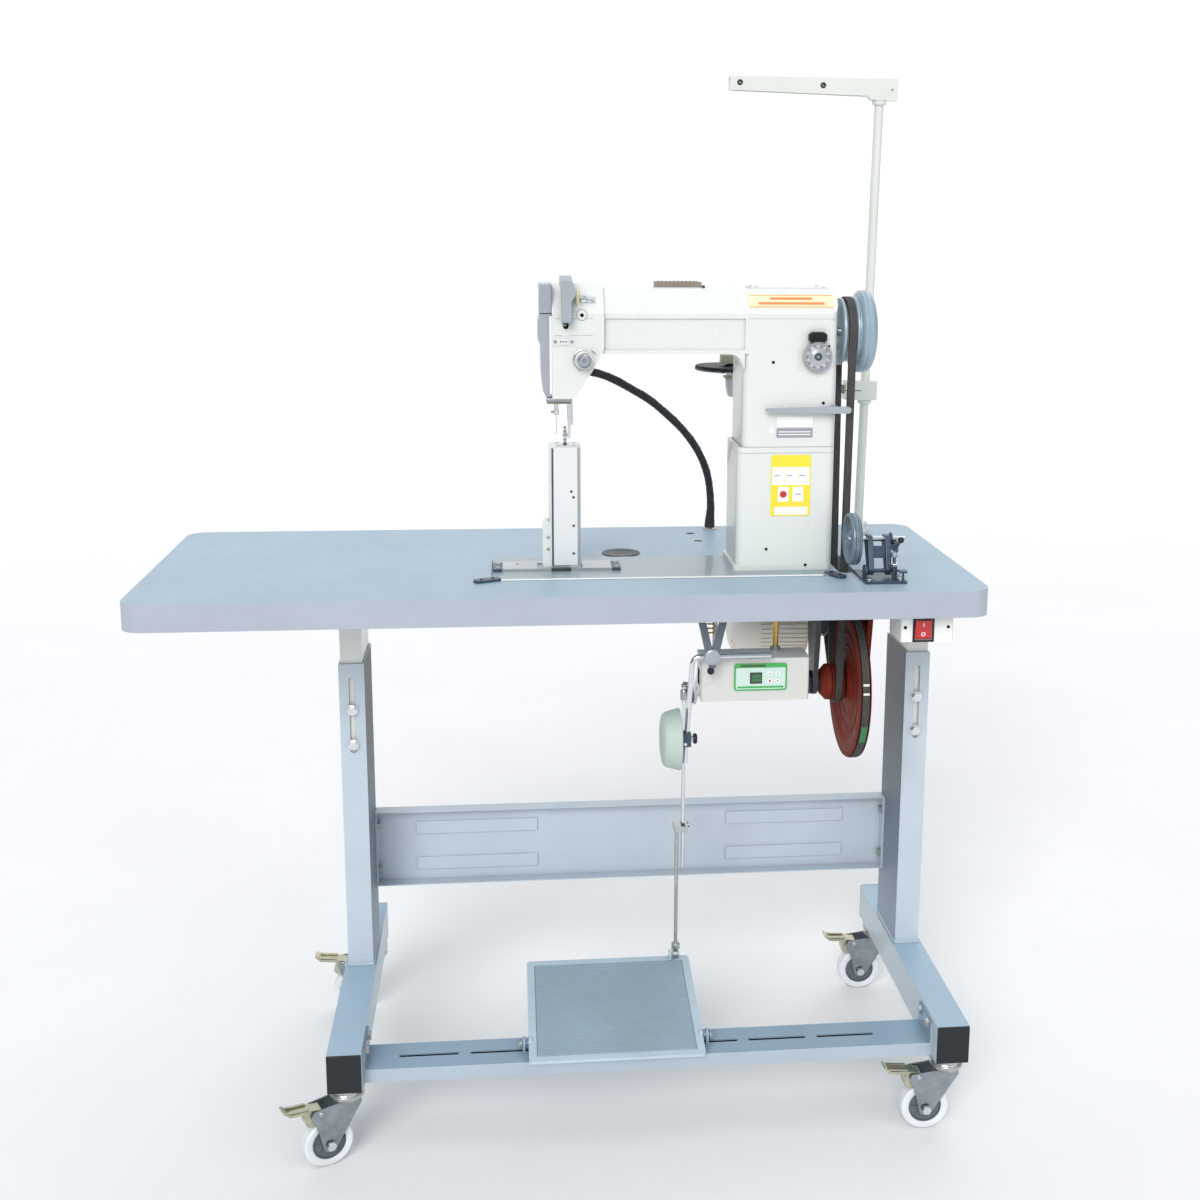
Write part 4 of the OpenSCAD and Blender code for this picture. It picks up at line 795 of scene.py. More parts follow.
def bed_plates():
    """Slide plates in the bed, the needle plate on the post, and a painted highlight line along the bed's
    front edge.
    """
    top = bed_hi.z
    slides = Shape("bed_slide_plates")
    for x0, x1, y1, mat in ((-104.5, -90.6, -48, "dark_steel"), (-90, -38, -48, "brushed"),
                            (-37.6, -17.5, -90, "brushed"), (-17, 11.5, -90, "iron"),
                            (12, 29, -90, "brushed"), (29.4, 73, -48, "brushed"),
                            (73.6, 86, -48, "dark_steel")):
        slides.box((x0, -96, top), (x1, y1, top + 4.6), mat)
    for x0, x1 in ((-104, -22), (29.4, 86)):
        slides.box((x0, -47.6, top), (x1, -36, top + 3), "brushed")
    slides.bolt((-68, -62, top + 4.6), "z", 1, 2.6, "hole", "dome", 0.3)
    for x in (-97, 80):
        for y in (-84, -58):
            slides.bolt((x, y, top + 4.6), "z", 1, 2.6, "steel", "slot", 0.8)
    slides.done("table", "steel", 0.5)
    # A white line along the bed's front rim: painted highlight.
    edge = Shape("bed_front_edge_painted_highlight")
    edge.tube([(bed_lo.x + 9 + i * 16, bed_lo.y + 1.0, top - 0.9) for i in range(31)], 1.3, "label_white", 10)
    edge.done("table", "head_paint")
    needle = Shape("needle_plate")
    pt = post_hi.z
    for lo, hi in (((-9, -85), (-1.2, -68.6)), ((-9, -63.4), (-1.2, -47)), ((-5.4, -68.6), (-1.2, -63.4)),
                   ((9.4, -85), (26, -47))):
        needle.box((*lo, pt), (*hi, pt + 0.35), "steel")
    for x, y in ((-6, -81), (-6, -51), (18, -81), (18, -51)):
        needle.bolt((x, y, pt + 0.35), "z", 1, 2.2, "steel", "slot", 0.5)
    needle.turned([(1.1, -0.1), (2.6, -0.1), (2.6, 0.45), (2.0, 0.5), (1.1, 0.2)], "z", (-8, -66, pt),
                  "steel", 20)
    needle.done("table", "steel")


def post_trim():
    """Screws and edge strips of the post's front cover."""
    lo, hi = corners("post_cover")
    trim = Shape("post_screws")
    for x, z in ((12.8, 981.6), (16, 973), (16, 930), (16, 888)):
        trim.disc(2.3, "y", (x, lo.y - 0.1, z), 0.8, "hole", 20)
        trim.ring(1.5, 2.4, 0, 0.35, "y", (x, lo.y - 0.45, z), "steel", 20)
    trim.box((hi.x + 0.6, -90.2, 866), (post_hi.x - 1.6, -88, post_hi.z - 3), "brushed")
    trim.box((lo.x - 3.2, -88.8, 866), (lo.x - 0.8, -88, post_hi.z - 3), "dark_steel")
    trim.box((post_lo.x + 10 + 2, -91.2, 863), (8, -88.1, 869), "brushed")
    for z in (904, 922):
        trim.bolt((post_lo.x + 8.4, -86, z - 10), "y", -1, 2.6, "steel", "slot", 1.0)
    trim.done("table", "steel", 0.3)


def head_front():
    """Dial, labels, screws and thread path on the front of arm, nose and column, with seam lines and a
    painted highlight strip.
    """
    bits = Shape("head_screws")
    for x, z in ((308, 1174), (384, 1114), (303, 895), (363, 870)):
        # Dark discs in the screw holes: painted shade.
        bits.ring(0, 2.2, -0.6, 0.15, "y", (x, front_y - 0.25, z), "hole", 18)
        bits.ring(2.2, 3.9, -0.3, 0.3, "y", (x, front_y, z), "head", 24)
    bits.turned([(0, -2.4), (3.6, -2.4), (3.6, -1.6), (6.6, -1.4), (7.4, -0.4), (7.4, 5), (0, 5)], "y",
                (28, nose_y - 0.1, 1242), "head", 28)
    # A grey ring round the oil boss's foot: painted shadow; the dark discs are the holes, painted shade.
    bits.ring(7.4, 8.2, -0.2, 5, "y", (28, nose_y, 1242), "label_grey", 28)
    bits.disc(2.7, "y", (28, nose_y - 2.7, 1242), 0.4, "hole", 20)
    bits.disc(2.2, "y", (390, front_y - 0.4, 1197), 0.8, "hole", 16)
    bits.done("table", "head_paint", 0.2)

    seam_and_highlight_lines = Shape("casting_lines_and_highlight")
    ring = rounded(col_lo.x + 4, front_y, col_hi.x, col_hi.y, 12)
    for z, r in ((post_hi.z, 0.5), (post_hi.z - 9, 0.4)):
        seam_and_highlight_lines.tube([(px, py, z) for px, py in ring], r, "guard_grey", 6, close=True)
    seam_and_highlight_lines.box((272, front_y - 0.12, 1236.7), (400, front_y + 0.3, 1237.3), "guard_grey")
    flo, fhi = corners("face_cover")
    for z in (1237, 1213):
        for x0, x1 in ((-12, 0.4), (9.6, 44)):
            seam_and_highlight_lines.box((x0, nose_y - 0.15, z - 0.35), (x1, nose_y + 0.3, z + 0.35), "guard_grey")
    seam_and_highlight_lines.box((flo.x + 3, flo.y - 0.2, 1243.4), (fhi.x - 0.5, flo.y + 0.6, 1244.6), "hole")
    # A white strip down the face cover's right edge: painted highlight.
    seam_and_highlight_lines.box((fhi.x - 3.3, flo.y - 0.3, 1128), (fhi.x - 0.2, flo.y + 0.6, 1240), "label_white")
    seam_and_highlight_lines.done("table", "head_paint")

    labels = Shape("blank_labels")
    face = move(0, front_y + 14, 1261.5) @ turn(-math.degrees(math.atan2(28, 35)), "X")
    labels.box((272, -1.0, -11.5), (398, 0.4, 11.5), "label_cream", face)
    for z, x0, x1 in ((4.4, 304, 366), (-4.2, 286, 384)):
        labels.box((x0, -1.35, z - 2.2), (x1, -0.9, z + 2.2), "label_orange", face)
    for z in (-10.3, 10.3):
        labels.box((273.5, -1.2, z - 0.5), (396.5, -0.9, z + 0.5), "label_orange", face)
    y1, y0 = front_y + 0.2, front_y - 0.5
    labels.box((315, y0, 1079), (369, y1, 1094), "label_white")
    labels.box((315, y0, 1063), (369, y1, 1077), "label_grey")
    for z in (1067.5, 1071.5):
        labels.box((318, y0 - 0.1, z - 0.7), (366, y0 + 0.1, z + 0.7), "label_white")
    labels.box((304, y0, 1070), (311, y1, 1078), "label_white")
    labels.prism(rounded(308, 945, 368, 1037, 4), "y", y0, y1, "label_yellow")
    for x0, x1, z0, z1 in ((310, 366, 992, 1019), (319, 335, 967, 989), (341, 357, 967, 989),
                           (314, 364, 947, 959)):
        labels.box((x0, y0 - 0.12, z0), (x1, y0 + 0.1, z1), "label_white")
    labels.disc(5.2, "y", (327, y0 - 0.3, 978), 0.3, "red", 28)
    for x in (328.5, 347.5):
        labels.box((x - 0.3, y0 - 0.2, 992.5), (x + 0.3, y0, 1018.5), "label_yellow")
    for x, z in ((316, 1006), (335, 1006), (354, 1006), (349, 978)):
        labels.box((x - 3.5, y0 - 0.2, z - 0.8), (x + 5, y0, z + 0.8), "label_grey")
    labels.done("table", "head_paint")

    tab = Shape("dial_tab")
    cx, cz = 372, 1183
    steps = [(13.5, 1206.5), (13.5, 1215), (9, 1218.5)]
    outline = [(cx + p, q) for p, q in steps + [(-p, q) for p, q in steps[::-1]]]
    tab.prism(outline + arc(cx, cz, 22.5, 114, -6, 9), "y", front_y - 9, front_y + 0.3, "black_gloss")
    tab.done("table", "black_plastic", 0.8, 3)

    rims = Shape("nose_thread_plate")
    rims.box((-13, nose_y - 1.2, 1198.5), (16.5, nose_y + 0.2, 1210), "head")
    rims.box((-6, nose_y - 2.2, 1200), (9, nose_y - 1, 1208.5), "post_plate")
    for x in (-10.4, 13.4):
        rims.bolt((x, nose_y - 1.2, 1204), "y", -1, 2.3, "steel", "slot", 1.2)
    for x in (-2.5, 1.5, 5.5):
        rims.disc(1.1, "y", (x, nose_y - 2.5, 1204.2), 0.5, "hole", 12)
    rims.done("table", "steel", 0.4)


def covers():
    """The plates on top of the arm and under the nose, with their screws."""
    top = 1279
    c = Shape("top_covers")
    c.box((137, -82, top - 0.5), (206, -28, top + 1.6), "head")
    c.box((139, -80, top + 1.4), (205, -30, top + 9.2), "cover_brown")
    for i in range(10):
        c.box((144 + i * 6, -78, top + 9.0), (146.4 + i * 6, -32, top + 9.9), "khaki")
    c.disc(3.2, "z", (210, -56, top - 0.4), 4.2, "dark_steel", 20, 0.8)
    c.box((279, -84, top - 0.5), (394, -20, top + 2.4), "head")
    for x in (286, 387):
        for y in (-78, -26):
            c.bolt((x, y, top + 2.4), "z", 1, 3.0, "steel", "slot", 1.0)
    c.done("table", "head_paint", 0.6, 3)
    foot = Shape("nose_foot_plates")
    foot.box((-23, -104, 1119), (14, -32, 1122.4), "head")
    foot.box((-21.5, -100, 1115.8), (12.5, -36, 1118.9), "brushed")
    foot.box((-22.5, -97, 1112.2), (12.8, -38, 1115.4), "khaki")
    foot.done("table", "steel", 0.5)
    rear = Shape("arm_rear_plates")
    rear.box((84, -20.4, 1200), (236, -18.6, 1262), "head")
    for x, z in ((90, 1206), (230, 1206), (90, 1256), (230, 1256)):
        rear.bolt((x, -18.6, z), "y", 1, 3.0, "steel", "slot", 1.1)
    rear.box((276, 1.6, 1086), (386, 3.4, 1262), "head")
    for x, z in ((282, 1092), (380, 1092), (282, 1256), (380, 1256)):
        rear.bolt((x, 3.4, z), "y", 1, 3.4, "steel", "slot", 1.2)
    rear.tube([(37, -13, 1153.6), (41, -12.7, 1152.9), (45.5, -12.2, 1151.8)], (6.6, 7.4, 7.2), "black", 20)
    rear.box((33, -20, 1146), (39, -6, 1160), "black")
    rear.done("table", "head_paint", 0.6, 3)
    guides = Shape("thread_guides")
    guides.disc(2.8, "z", (22, -106, 1254), 23, "label_cream", 20, 0.8)
    slope = move(37, -102, 1263.1) @ turn(math.degrees(math.atan2(42, 33)), "X")
    guides.box((-11, -5, -0.4), (11, 5, 1.4), "steel", slope)
    guides.turned([(2.8, 1.4), (2.8, 2.4), (2.2, 2.9), (0, 2.9)], "z", (6, 0, 0), "steel", 20, matrix=slope)
    curl = [(-6 + 4.6 * math.cos(a), 4.0 * math.sin(a), 3 + a * 0.7) for a in (i * 0.42 for i in range(16))]
    guides.tube([slope @ Vector(p) for p in [(-2, 0, 1)] + curl], 0.9, "steel", 8)
    arch = [(-2, -3, 1), (-1, -4, 5), (3, -4.5, 7), (8, -4, 6), (9, -3, 1)]
    guides.tube([slope @ Vector(p) for p in arch], 0.9, "steel", 8)
    guides.done("table", "steel")


def needle_end():
    """Needle bar, presser bar, roller foot, feed wheel and hook."""
    refined("needle_bar", "chrome", 0.2)
    refined("presser_bar", "chrome", 0.3)
    refined("takeup_lever", "chrome", 0.5)
    refined("rotary_hook", "steel", 0.3)
    refined("main_shaft", "steel", 0.4)
    roller, (x0, x1, y, z, r) = Shape("roller_foot_knurled"), wheel("roller_foot")
    roller.prism(toothed(y, z, (r - 0.5, r), 88), "x", x0 + 0.6, x1 - 0.6, "steel")
    roller.disc(r - 3.2, "x", (x0, y, z), x1 - x0, "chrome", 36, 0.5)
    roller.done("roller", "steel", replaces=("roller_foot",))
    feed, (x0, x1, y, z, r) = Shape("feed_wheel_knurled"), wheel("feed_wheel")
    feed.prism(toothed(y, z, (r - 0.5, r), 96), "x", x0, x0 + 5, "steel")
    feed.disc(3.0, "x", (x0 + 4.5, y, z), x1 - x0 - 4.5, "steel", 20, 0.4)
    feed.done("feed", "steel", replaces=("feed_wheel",))


def dial():
    """Stitch length dial: knurled rim, engraved ring of ticks and dots."""
    lo, hi = corners("stitch_dial")
    x, _, z = middle("stitch_dial")
    r = (hi.x - lo.x) / 2
    d = Shape("stitch_dial_knurled")
    d.prism(toothed(x, z, (r, r, r - 0.9, r - 0.9), 144), "y", lo.y + 1.2, lo.y + 10, "brushed")
    d.turned([(0, -0.5), (8.5, -0.5), (10, 0.2), (14.5, 0.2), (19.6, 1.4), (19.6, 3), (0, 3)], "y",
             (x, lo.y + 0.6, z), "brushed", 60)
    d.disc(9.8, "y", (x, lo.y + 9.8, z), 2.8, "steel", 32)
    d.disc(3.0, "y", (x, lo.y + 12, z), hi.y - lo.y - 12.2, "steel", 20)
    d.turned([(2.6, 0), (5.6, 0), (5.6, 2.2), (4.8, 2.8), (2.6, 2.8)], "y", (x, lo.y - 2.2, z), "dark_steel",
             28)
    for i in range(20):
        spot = move(x, lo.y + 0.55, z) @ turn(18 * i, "Y")
        length, mat = ((3.6, "label_white"), (2.2, "hole"))[i % 2]
        d.box((-0.45, -0.05, 17 - length), (0.45, 0.5, 17.4), mat, spot)
    d.done("dial", "steel", 0.2, replaces=("stitch_dial",))


def tension():
    """Thread tension: nut, discs, spring and check spring."""
    x, _, z = middle("tension_knob")
    y = nose_y
    t = Shape("tension_nut")
    t.prism(toothed(x, z, (9.5, 9.5, 8.7, 8.7), 72), "y", y - 21, y - 14, "face_grey")
    t.turned([(3.6, -24), (7.2, -24), (9.1, -21.6), (8.8, -14), (3.6, -14)], "y", (x, y, z), "brushed", 36)
    t.disc(3.0, "y", (x, y - 19, z), 24.6, "steel", 20, 0.5)
    t.ring(0, 3.5, -19.5, -19.1, "y", (x, y, z), "hole", 20)
    for a, b in ((-8.6, -7.4), (-6.8, -5.6)):
        t.turned([(3, a + 0.2), (9.2, a - 0.1), (11.6, a - 0.9), (12.5, a - 0.6), (12, b - 0.6), (9.2, b),
                  (3, b)], "y", (x, y, z), "post_plate", 48)
    t.turned([(3, -4.2), (10.2, -4.2), (11, -3.4), (11, -1), (3, -1)], "y", (x, y, z), "head", 40)
    coil = [(x + 5.4 * math.cos(a), y - 14.8 + a * 0.29, z + 5.4 * math.sin(a))
            for a in (i * 0.35 for i in range(64))]
    t.tube(coil, 0.55, "spring", 6)
    t.done("tension", "steel", replaces=("tension_knob",))
    hook = Shape("tension_check_spring")
    loop = [(p, y - 2.4, q) for p, q in arc(x, z, 15, 100, 10, 14)]
    hook.tube(loop + [(x - 2, y - 5, z - 13.5), (x - 9, y - 8, z - 15)], 0.7, "steel", 8)
    hook.tube([(x + 12, y - 0.2, z + 13), (x + 12, y - 7, z + 13), (x + 15, y - 8.5, z + 12),
               (x + 16, y - 7, z + 10)], 0.9, "steel", 8)
    hook.turned([(12.6, -1.0), (15.2, -1.0), (15.8, 0.1), (12.6, 0.1)], "y", (x, y, z), "head", 48)
    hook.done("table", "steel")


table()
castings()
bed_plates()
post_trim()
head_front()
covers()
needle_end()
dial()
tension()
refined("reverse_lever", "guard_grey", 1.8, 3)


# ---- drive ----


def handwheel():
    """Handwheel with its belt groove, and the nut that holds it."""
    x0, _, y, z, _ = wheel("handwheel")
    w = Shape("handwheel_turned")
    profile = [(7.1, 2), (24, 2), (25, 0.6), (47.5, 0.4), (49.4, 1.2), (50, 2.6), (49.8, 4.6), (48.2, 5.6),
               (44.8, 6.9), (44.7, 19.1), (50.6, 20.0), (52, 21.2), (52.4, 23), (50.8, 24.6), (51.4, 26.2),
               (56.2, 27.4), (59.6, 29.2), (60.9, 31), (61, 33.5), (60.3, 34.3), (60.3, 35.5), (61, 36.3),
               (60.8, 41), (59.2, 44.6), (56, 47.6), (52.4, 49.4), (48, 49.6), (45.6, 48.4), (43.4, 45),
               (41, 40.4), (38.5, 38.4), (22, 37.6), (18, 38), (16.4, 40.6), (15.8, 43.6), (14.4, 44.6),
               (7.1, 44.6)]
    w.turned(profile, "x", (x0, y, z), "wheel_grey", 96)
    w.disc(6.9, "x", (x0 + 40, y, z), 3.4, "steel", 28, 0.6)
    for i in range(3):
        spot = move(x0 + 37.4, y, z) @ turn(120 * i, "X")
        w.turned([(0, 0.4), (5.2, 0.4), (5.2, 1.1), (6.6, 1.3), (6.6, -0.4), (0, -0.4)], "x", (0, 0, 30),
                 "hole", 20, matrix=spot)
    w.bolt((x0 + 42, y, z + 15.6), "z", 1, 2.4, "hole", "dome", 0.4)
    w.done("shaft", "grey_paint", replaces=("handwheel",))
    nut = Shape("handwheel_nut")
    nut.turned([(4, 0), (10.5, 0), (11, 1), (11, 3.4), (10, 4.2), (4, 4.2)], "x", (x0 + 44.6, y, z), "steel",
               6)
    nut.done("shaft", "steel", 0.4)


def belts():
    """Both belts, with the paint marks on the lower one."""
    for node in ("head_belt", "motor_belt"):
        refined(node, "belt", 1.0, 2, angle=40)
    marks = Shape("belt_marks")
    x, y, z, r = 447, -64, 672, 119.06  # where the belt lies on the large pulley
    for start, end, mat in ((-34.5, -19, "green_mark"), (6.0, 7.6, "white_mark"), (12.6, 14.2, "white_mark")):
        step = (end - start) / 8
        outer = arc(y, z, r + 0.35, 180 - start, -step, 9)
        inner = arc(y, z, r - 1.0, 180 - end, step, 9)
        marks.prism(outer + inner, "x", x - 4.6, x + 4.6, mat)
    marks.done("table", "belt_rubber")


def reducer():
    """Speed reducer under the table: pulleys, shaft, bearings and hanger."""
    refined("reducer_bracket", "maroon", 1.4, 3, paint=lambda c, n: "iron" if c.x < 411 else None)
    _, _, y, z, big = wheel("countershaft")
    p = Shape("countershaft_pulleys")
    rim = [(8.1, 0), (24, 0), (29, 1.0), (33, 3.4), (37, 5.6), (52, 6.4), (53.5, 5.4), (56, 5.4), (57.5, 6.6),
           (72, 6.6), (74, 5.2), (77, 5.2), (79, 6.6), (88, 6.0), (93, 2.6), (98, 0.8), (big - 3, 0.2),
           (big - 0.6, 0.6), (big, 1.5), (111.7, 3.0), (111.7, 15.0), (big, 16.5), (big - 0.8, 17.6),
           (big - 4, 17.9), (98, 17.2), (93, 15), (88, 12.0), (37, 11.4), (31, 15), (26, 17.6), (8.1, 18)]
    p.turned(rim, "x", (438, y, z), "maroon", 128)
    small = [(8.1, 0.5), (29.5, 0.5), (31, 1.4), (31, 2.4), (25.7, 3.8), (25.7, 15.3), (31, 16.8), (31, 18),
             (29.5, 18.6), (8.1, 18.6)]
    p.turned(small, "x", (415.5, y, z), "maroon", 72)
    cone = [(8.1, 0), (16, 0), (19, 1.2), (20.5, 3.2), (27.4, 9.5), (28.2, 12), (28, 16.5), (26.5, 17.4),
            (8.1, 17.4)]
    p.turned(cone, "x", (398, y, z), "maroon", 72)
    p.turned([(0, -18), (7.2, -18), (8, -17.2), (8, 82), (7.2, 83), (0, 83)], "x", (397, y, z), "steel", 32)
    p.turned([(8.1, -0.5), (13.5, -0.5), (14.5, 0.6), (14.5, 3.2), (8.1, 3.2)], "x", (394.6, y, z), "black",
             36)
    p.done("counter", "maroon_iron", replaces=("countershaft",))
    hub = Shape("reducer_bearings")
    hub.turned([(8.15, 0), (17, 0), (18.4, -1.4), (18.4, -4.2), (16, -5.6), (12.5, -6.4), (8.15, -6.4)], "x",
               (386, y, z), "black", 40)
    hub.turned([(8.15, 0), (19, 0), (19, 3.4), (15.5, 5), (8.15, 5)], "x", (474, y, z), "maroon", 40)
    for x, s in ((379.4, -1), (479, 1)):
        hub.ring(0, 6.9, 0, 1.8 * s, "x", (x if s < 0 else x + 1.4, y, z), "steel", 28)
    for x, by in ((394.6, -94), (483, -94), (394.6, -30), (483, -30)):
        hub.bolt((x, by, 813), "z", -1, 6.5, "zinc", "hex", 5)
    hub.bolt((474, -60, 790), "x", 1, 6.0, "zinc", "hex", 5)
    hub.done("table", "maroon_iron", 0.4)


def motor():
    """Servo motor with its cooling fins."""
    x0, x1, y, z = 277, 402, 95, 738
    c = "motor"
    mt = Shape("motor_body")
    bell = [(0, 0), (34, 0), (44, 1.6), (54, 6), (60.5, 13), (63, 22), (64, 44), (63.6, 45)]
    flange = [(63.6, 121.5), (63.8, 122), (62.6, 124.2), (60, 125), (24, 125), (22, 124), (7.1, 124)]
    mt.turned(bell + flange, "x", (x0, y, z), c, 96)
    for i in range(46):
        spot = move(x0, y, z) @ turn(16 + i * (328 / 45), "X")
        mt.box((45.5, -1.4, 62.4), (121.6, 1.4, 65.4), c, spot)
    mt.box((x0 + 22, y - 27, z + 50), (x1 - 31, y + 27, table_lo.z - 0.1), c)
    for side in (-31, 31):
        for x in (x0 + 30, x1 - 40):
            mt.bolt((x, y + side, table_lo.z - 8), "z", 1, 5, "zinc", "hex", 4)
    mt.box((x0 + 40, y - 8, z - 65.5), (x0 + 78, y + 8, z - 62.5), "black")
    for by, bz in arc(y, z, 44, 45, 90, 4):
        mt.bolt((x0 + 4.8, by, bz), "x", -1, 4, "zinc", "hex", 3.0)
    mt.done("table", "cream_plastic", 0.4, replaces=("motor_housing",))
    refined("motor_housing", c, 0.8, 2, keep=lambda c: c.x > x1 + 0.01)
    refined("motor_pulley", "dark_steel", 0.6, 2)


def control():
    """Control box: panel with blank keys, display, hanger bolts and vents."""
    x0, y0, y1, z0, z1 = 200, corners("control_box")[0].y, -114, 677, 742
    refined("control_box", "cream", 2.0, 4)
    p = Shape("control_panel")
    px0, px1, pz0, pz1 = 249, 328, 693, 734.5
    p.prism(rounded(px0, pz0, px1, pz1, 4), "y", y0 - 1.6, y0 + 0.3, "green")
    p.prism(rounded(px0 + 2.4, pz0 + 2.4, px1 - 2.4, pz1 - 6.4, 2.4), "y", y0 - 2.0, y0 - 1, "panel")
    p.box((258, y0 - 2.0, pz1 - 5.0), (296, y0 - 1.4, pz1 - 1.8), "lcd")
    p.box((px0 + 5, y0 - 2.2, pz0 + 4), (px1 - 5, y0 - 1.8, pz0 + 7), "green")
    p.box((272.5, y0 - 2.7, 704), (290.5, y0 - 1.8, 721), "black")
    p.box((274, y0 - 2.9, 705.4), (289, y0 - 2.4, 719.6), "lcd")
    for i in range(3):
        for z in (709.6, 714.8):
            for x in (276.4, 279.2):
                p.box((x + i * 4.4, y0 - 3.0, z - 1.6), (x + 0.7 + i * 4.4, y0 - 2.8, z + 1.6), "green")
    for kx, kz in ((302, 719), (314, 719), (302, 708), (314, 708)):
        p.disc(3.4, "y", (kx, y0 - 3.0, kz), 1.2, "label_white", 24, 0.4)
        p.disc(1.5, "y", (kx, y0 - 3.3, kz), 0.5, "label_grey", 16)
    p.disc(1.7, "y", (302, y0 - 3.6, 708), 0.5, "red", 16)
    p.done("table", "cream_plastic", 0.25)
    s = Shape("control_box_trim")
    s.ring(0, 4.3, z1 - 1, 806, "z", (318, y1 - 10, 0), "brass", 24)
    s.turned([(0, 804), (7.6, 804), (8.5, 805.4), (8.5, 819.6), (0, 819.6)], "z", (318, y1 - 10, 0), "brass",
             6)
    for x in (226, 318):
        s.turned([(4.2, z1), (7.5, z1), (7.5, z1 + 5), (6.8, z1 + 5.6), (4.2, z1 + 5.6)], "z",
                 (x, y1 - 10, 0), "zinc", 6)
    s.ring(4.1, 7.5, 814, 819.8, "z", (226, y1 - 10, 0), "zinc", 6)
    s.disc(8.0, "y", (209, y0 - 1.2, 713), 1.6, "cream", 28, 0.5)
    s.box((x0 - 0.6, y0 + 5, z0 + 5), (x0 + 0.4, y1 - 12, z1 - 5), "cream")
    for z in (z0 + 9, z1 - 9):
        for y in (y0 + 9, y1 - 16):
            s.bolt((x0 - 0.6, y, z), "x", -1, 2.4, "zinc", "slot", 1.2)
    # Vent slots are near-black strips on the box: painted shade.
    for y in range(4):
        s.box((x0 - 1.0, y0 + 16 + y * 5, 697), (x0 + 0.2, y0 + 18 + y * 5, 722), "hole")
    for z in (696, 714, 732):
        s.box((362 - 0.4, y0 + 8, z - 1), (362 + 0.5, y1 - 8, z + 1), "hole")
    s.done("table", "cream_plastic", 0.3)


handwheel()
belts()
reducer()
motor()
control()


# ---- treadle and its rods ----


def treadle():
    """Ribbed treadle, and the two rods up to the control lever."""
    pivot_y, pivot_z = -197, 154
    local = move(0, pivot_y, pivot_z) @ turn(9.3, "X")
    refined("treadle_plate", "treadle", 1.6, 3)
    rim = 12.6
    x0, x1, y0, y1 = -60 + rim, 205 - rim, -50 + rim, 195 - rim
    mat = Shape("treadle_ribs")
    mat.box((x0, y0, 3.4), (x1, y1, 4.1), "treadle_mat", local)
    count = 44
    pitch = (y1 - y0) / count
    for i in range(count):
        y = y0 + pitch * (i + 0.5)
        wide, narrow = pitch * 0.42, pitch * 0.22
        rib = [(y - wide, 4.0), (y - narrow, 5.4), (y + narrow, 5.4), (y + wide, 4.0)]
        mat.prism(rib, "x", x0 + 1, x1 - 1, "treadle_mat", local)
    mat.done("treadle", "stand_paint")
    nuts = Shape("treadle_pivot_nuts")
    for x, s in ((-72, -1), (217, 1)):
        nuts.bolt((x, pivot_y, pivot_z), "x", s, 7, "chrome", "hex", 5.5)
        nuts.ring(4.1, 8.6, 0, 1.4 * -s, "x", (x, pivot_y, pivot_z), "zinc", 28)
    nuts.done("stand", "zinc", 0.3)
    refined("pitman_lower", "zinc", 0.6)
    refined("pitman_upper", "chrome", 0.4)
    refined("motor_lever", "dark_steel", 0.5)
    jy = middle("pitman_lower")[1]
    knobs = Shape("lower_rod_trim")
    knobs.turned([(3.0, 0), (6.5, 0), (7, 0.8), (7, 9), (5.2, 11), (3.0, 11)], "z", (183, jy, 207), "zinc",
                 28)
    for s in (-8, 8):
        knobs.bolt((200, jy + s, 419), "x", 1, 4.4, "chrome", "hex", 3.4)
    knobs.done("rod_low", "zinc", 0.3)
    tops = Shape("upper_rod_trim")
    tops.turned([(3.05, 0), (5.6, 0), (6.2, 1), (6.2, 15), (5, 17), (3.05, 17)], "z", (193, jy, 632), "zinc",
                24)
    tops.ring(3.02, 5.2, 0, 3.6, "z", (193, jy, 625), "chrome", 6)
    tops.done("rod_high", "zinc", 0.25)


# ---- knee lifter ----


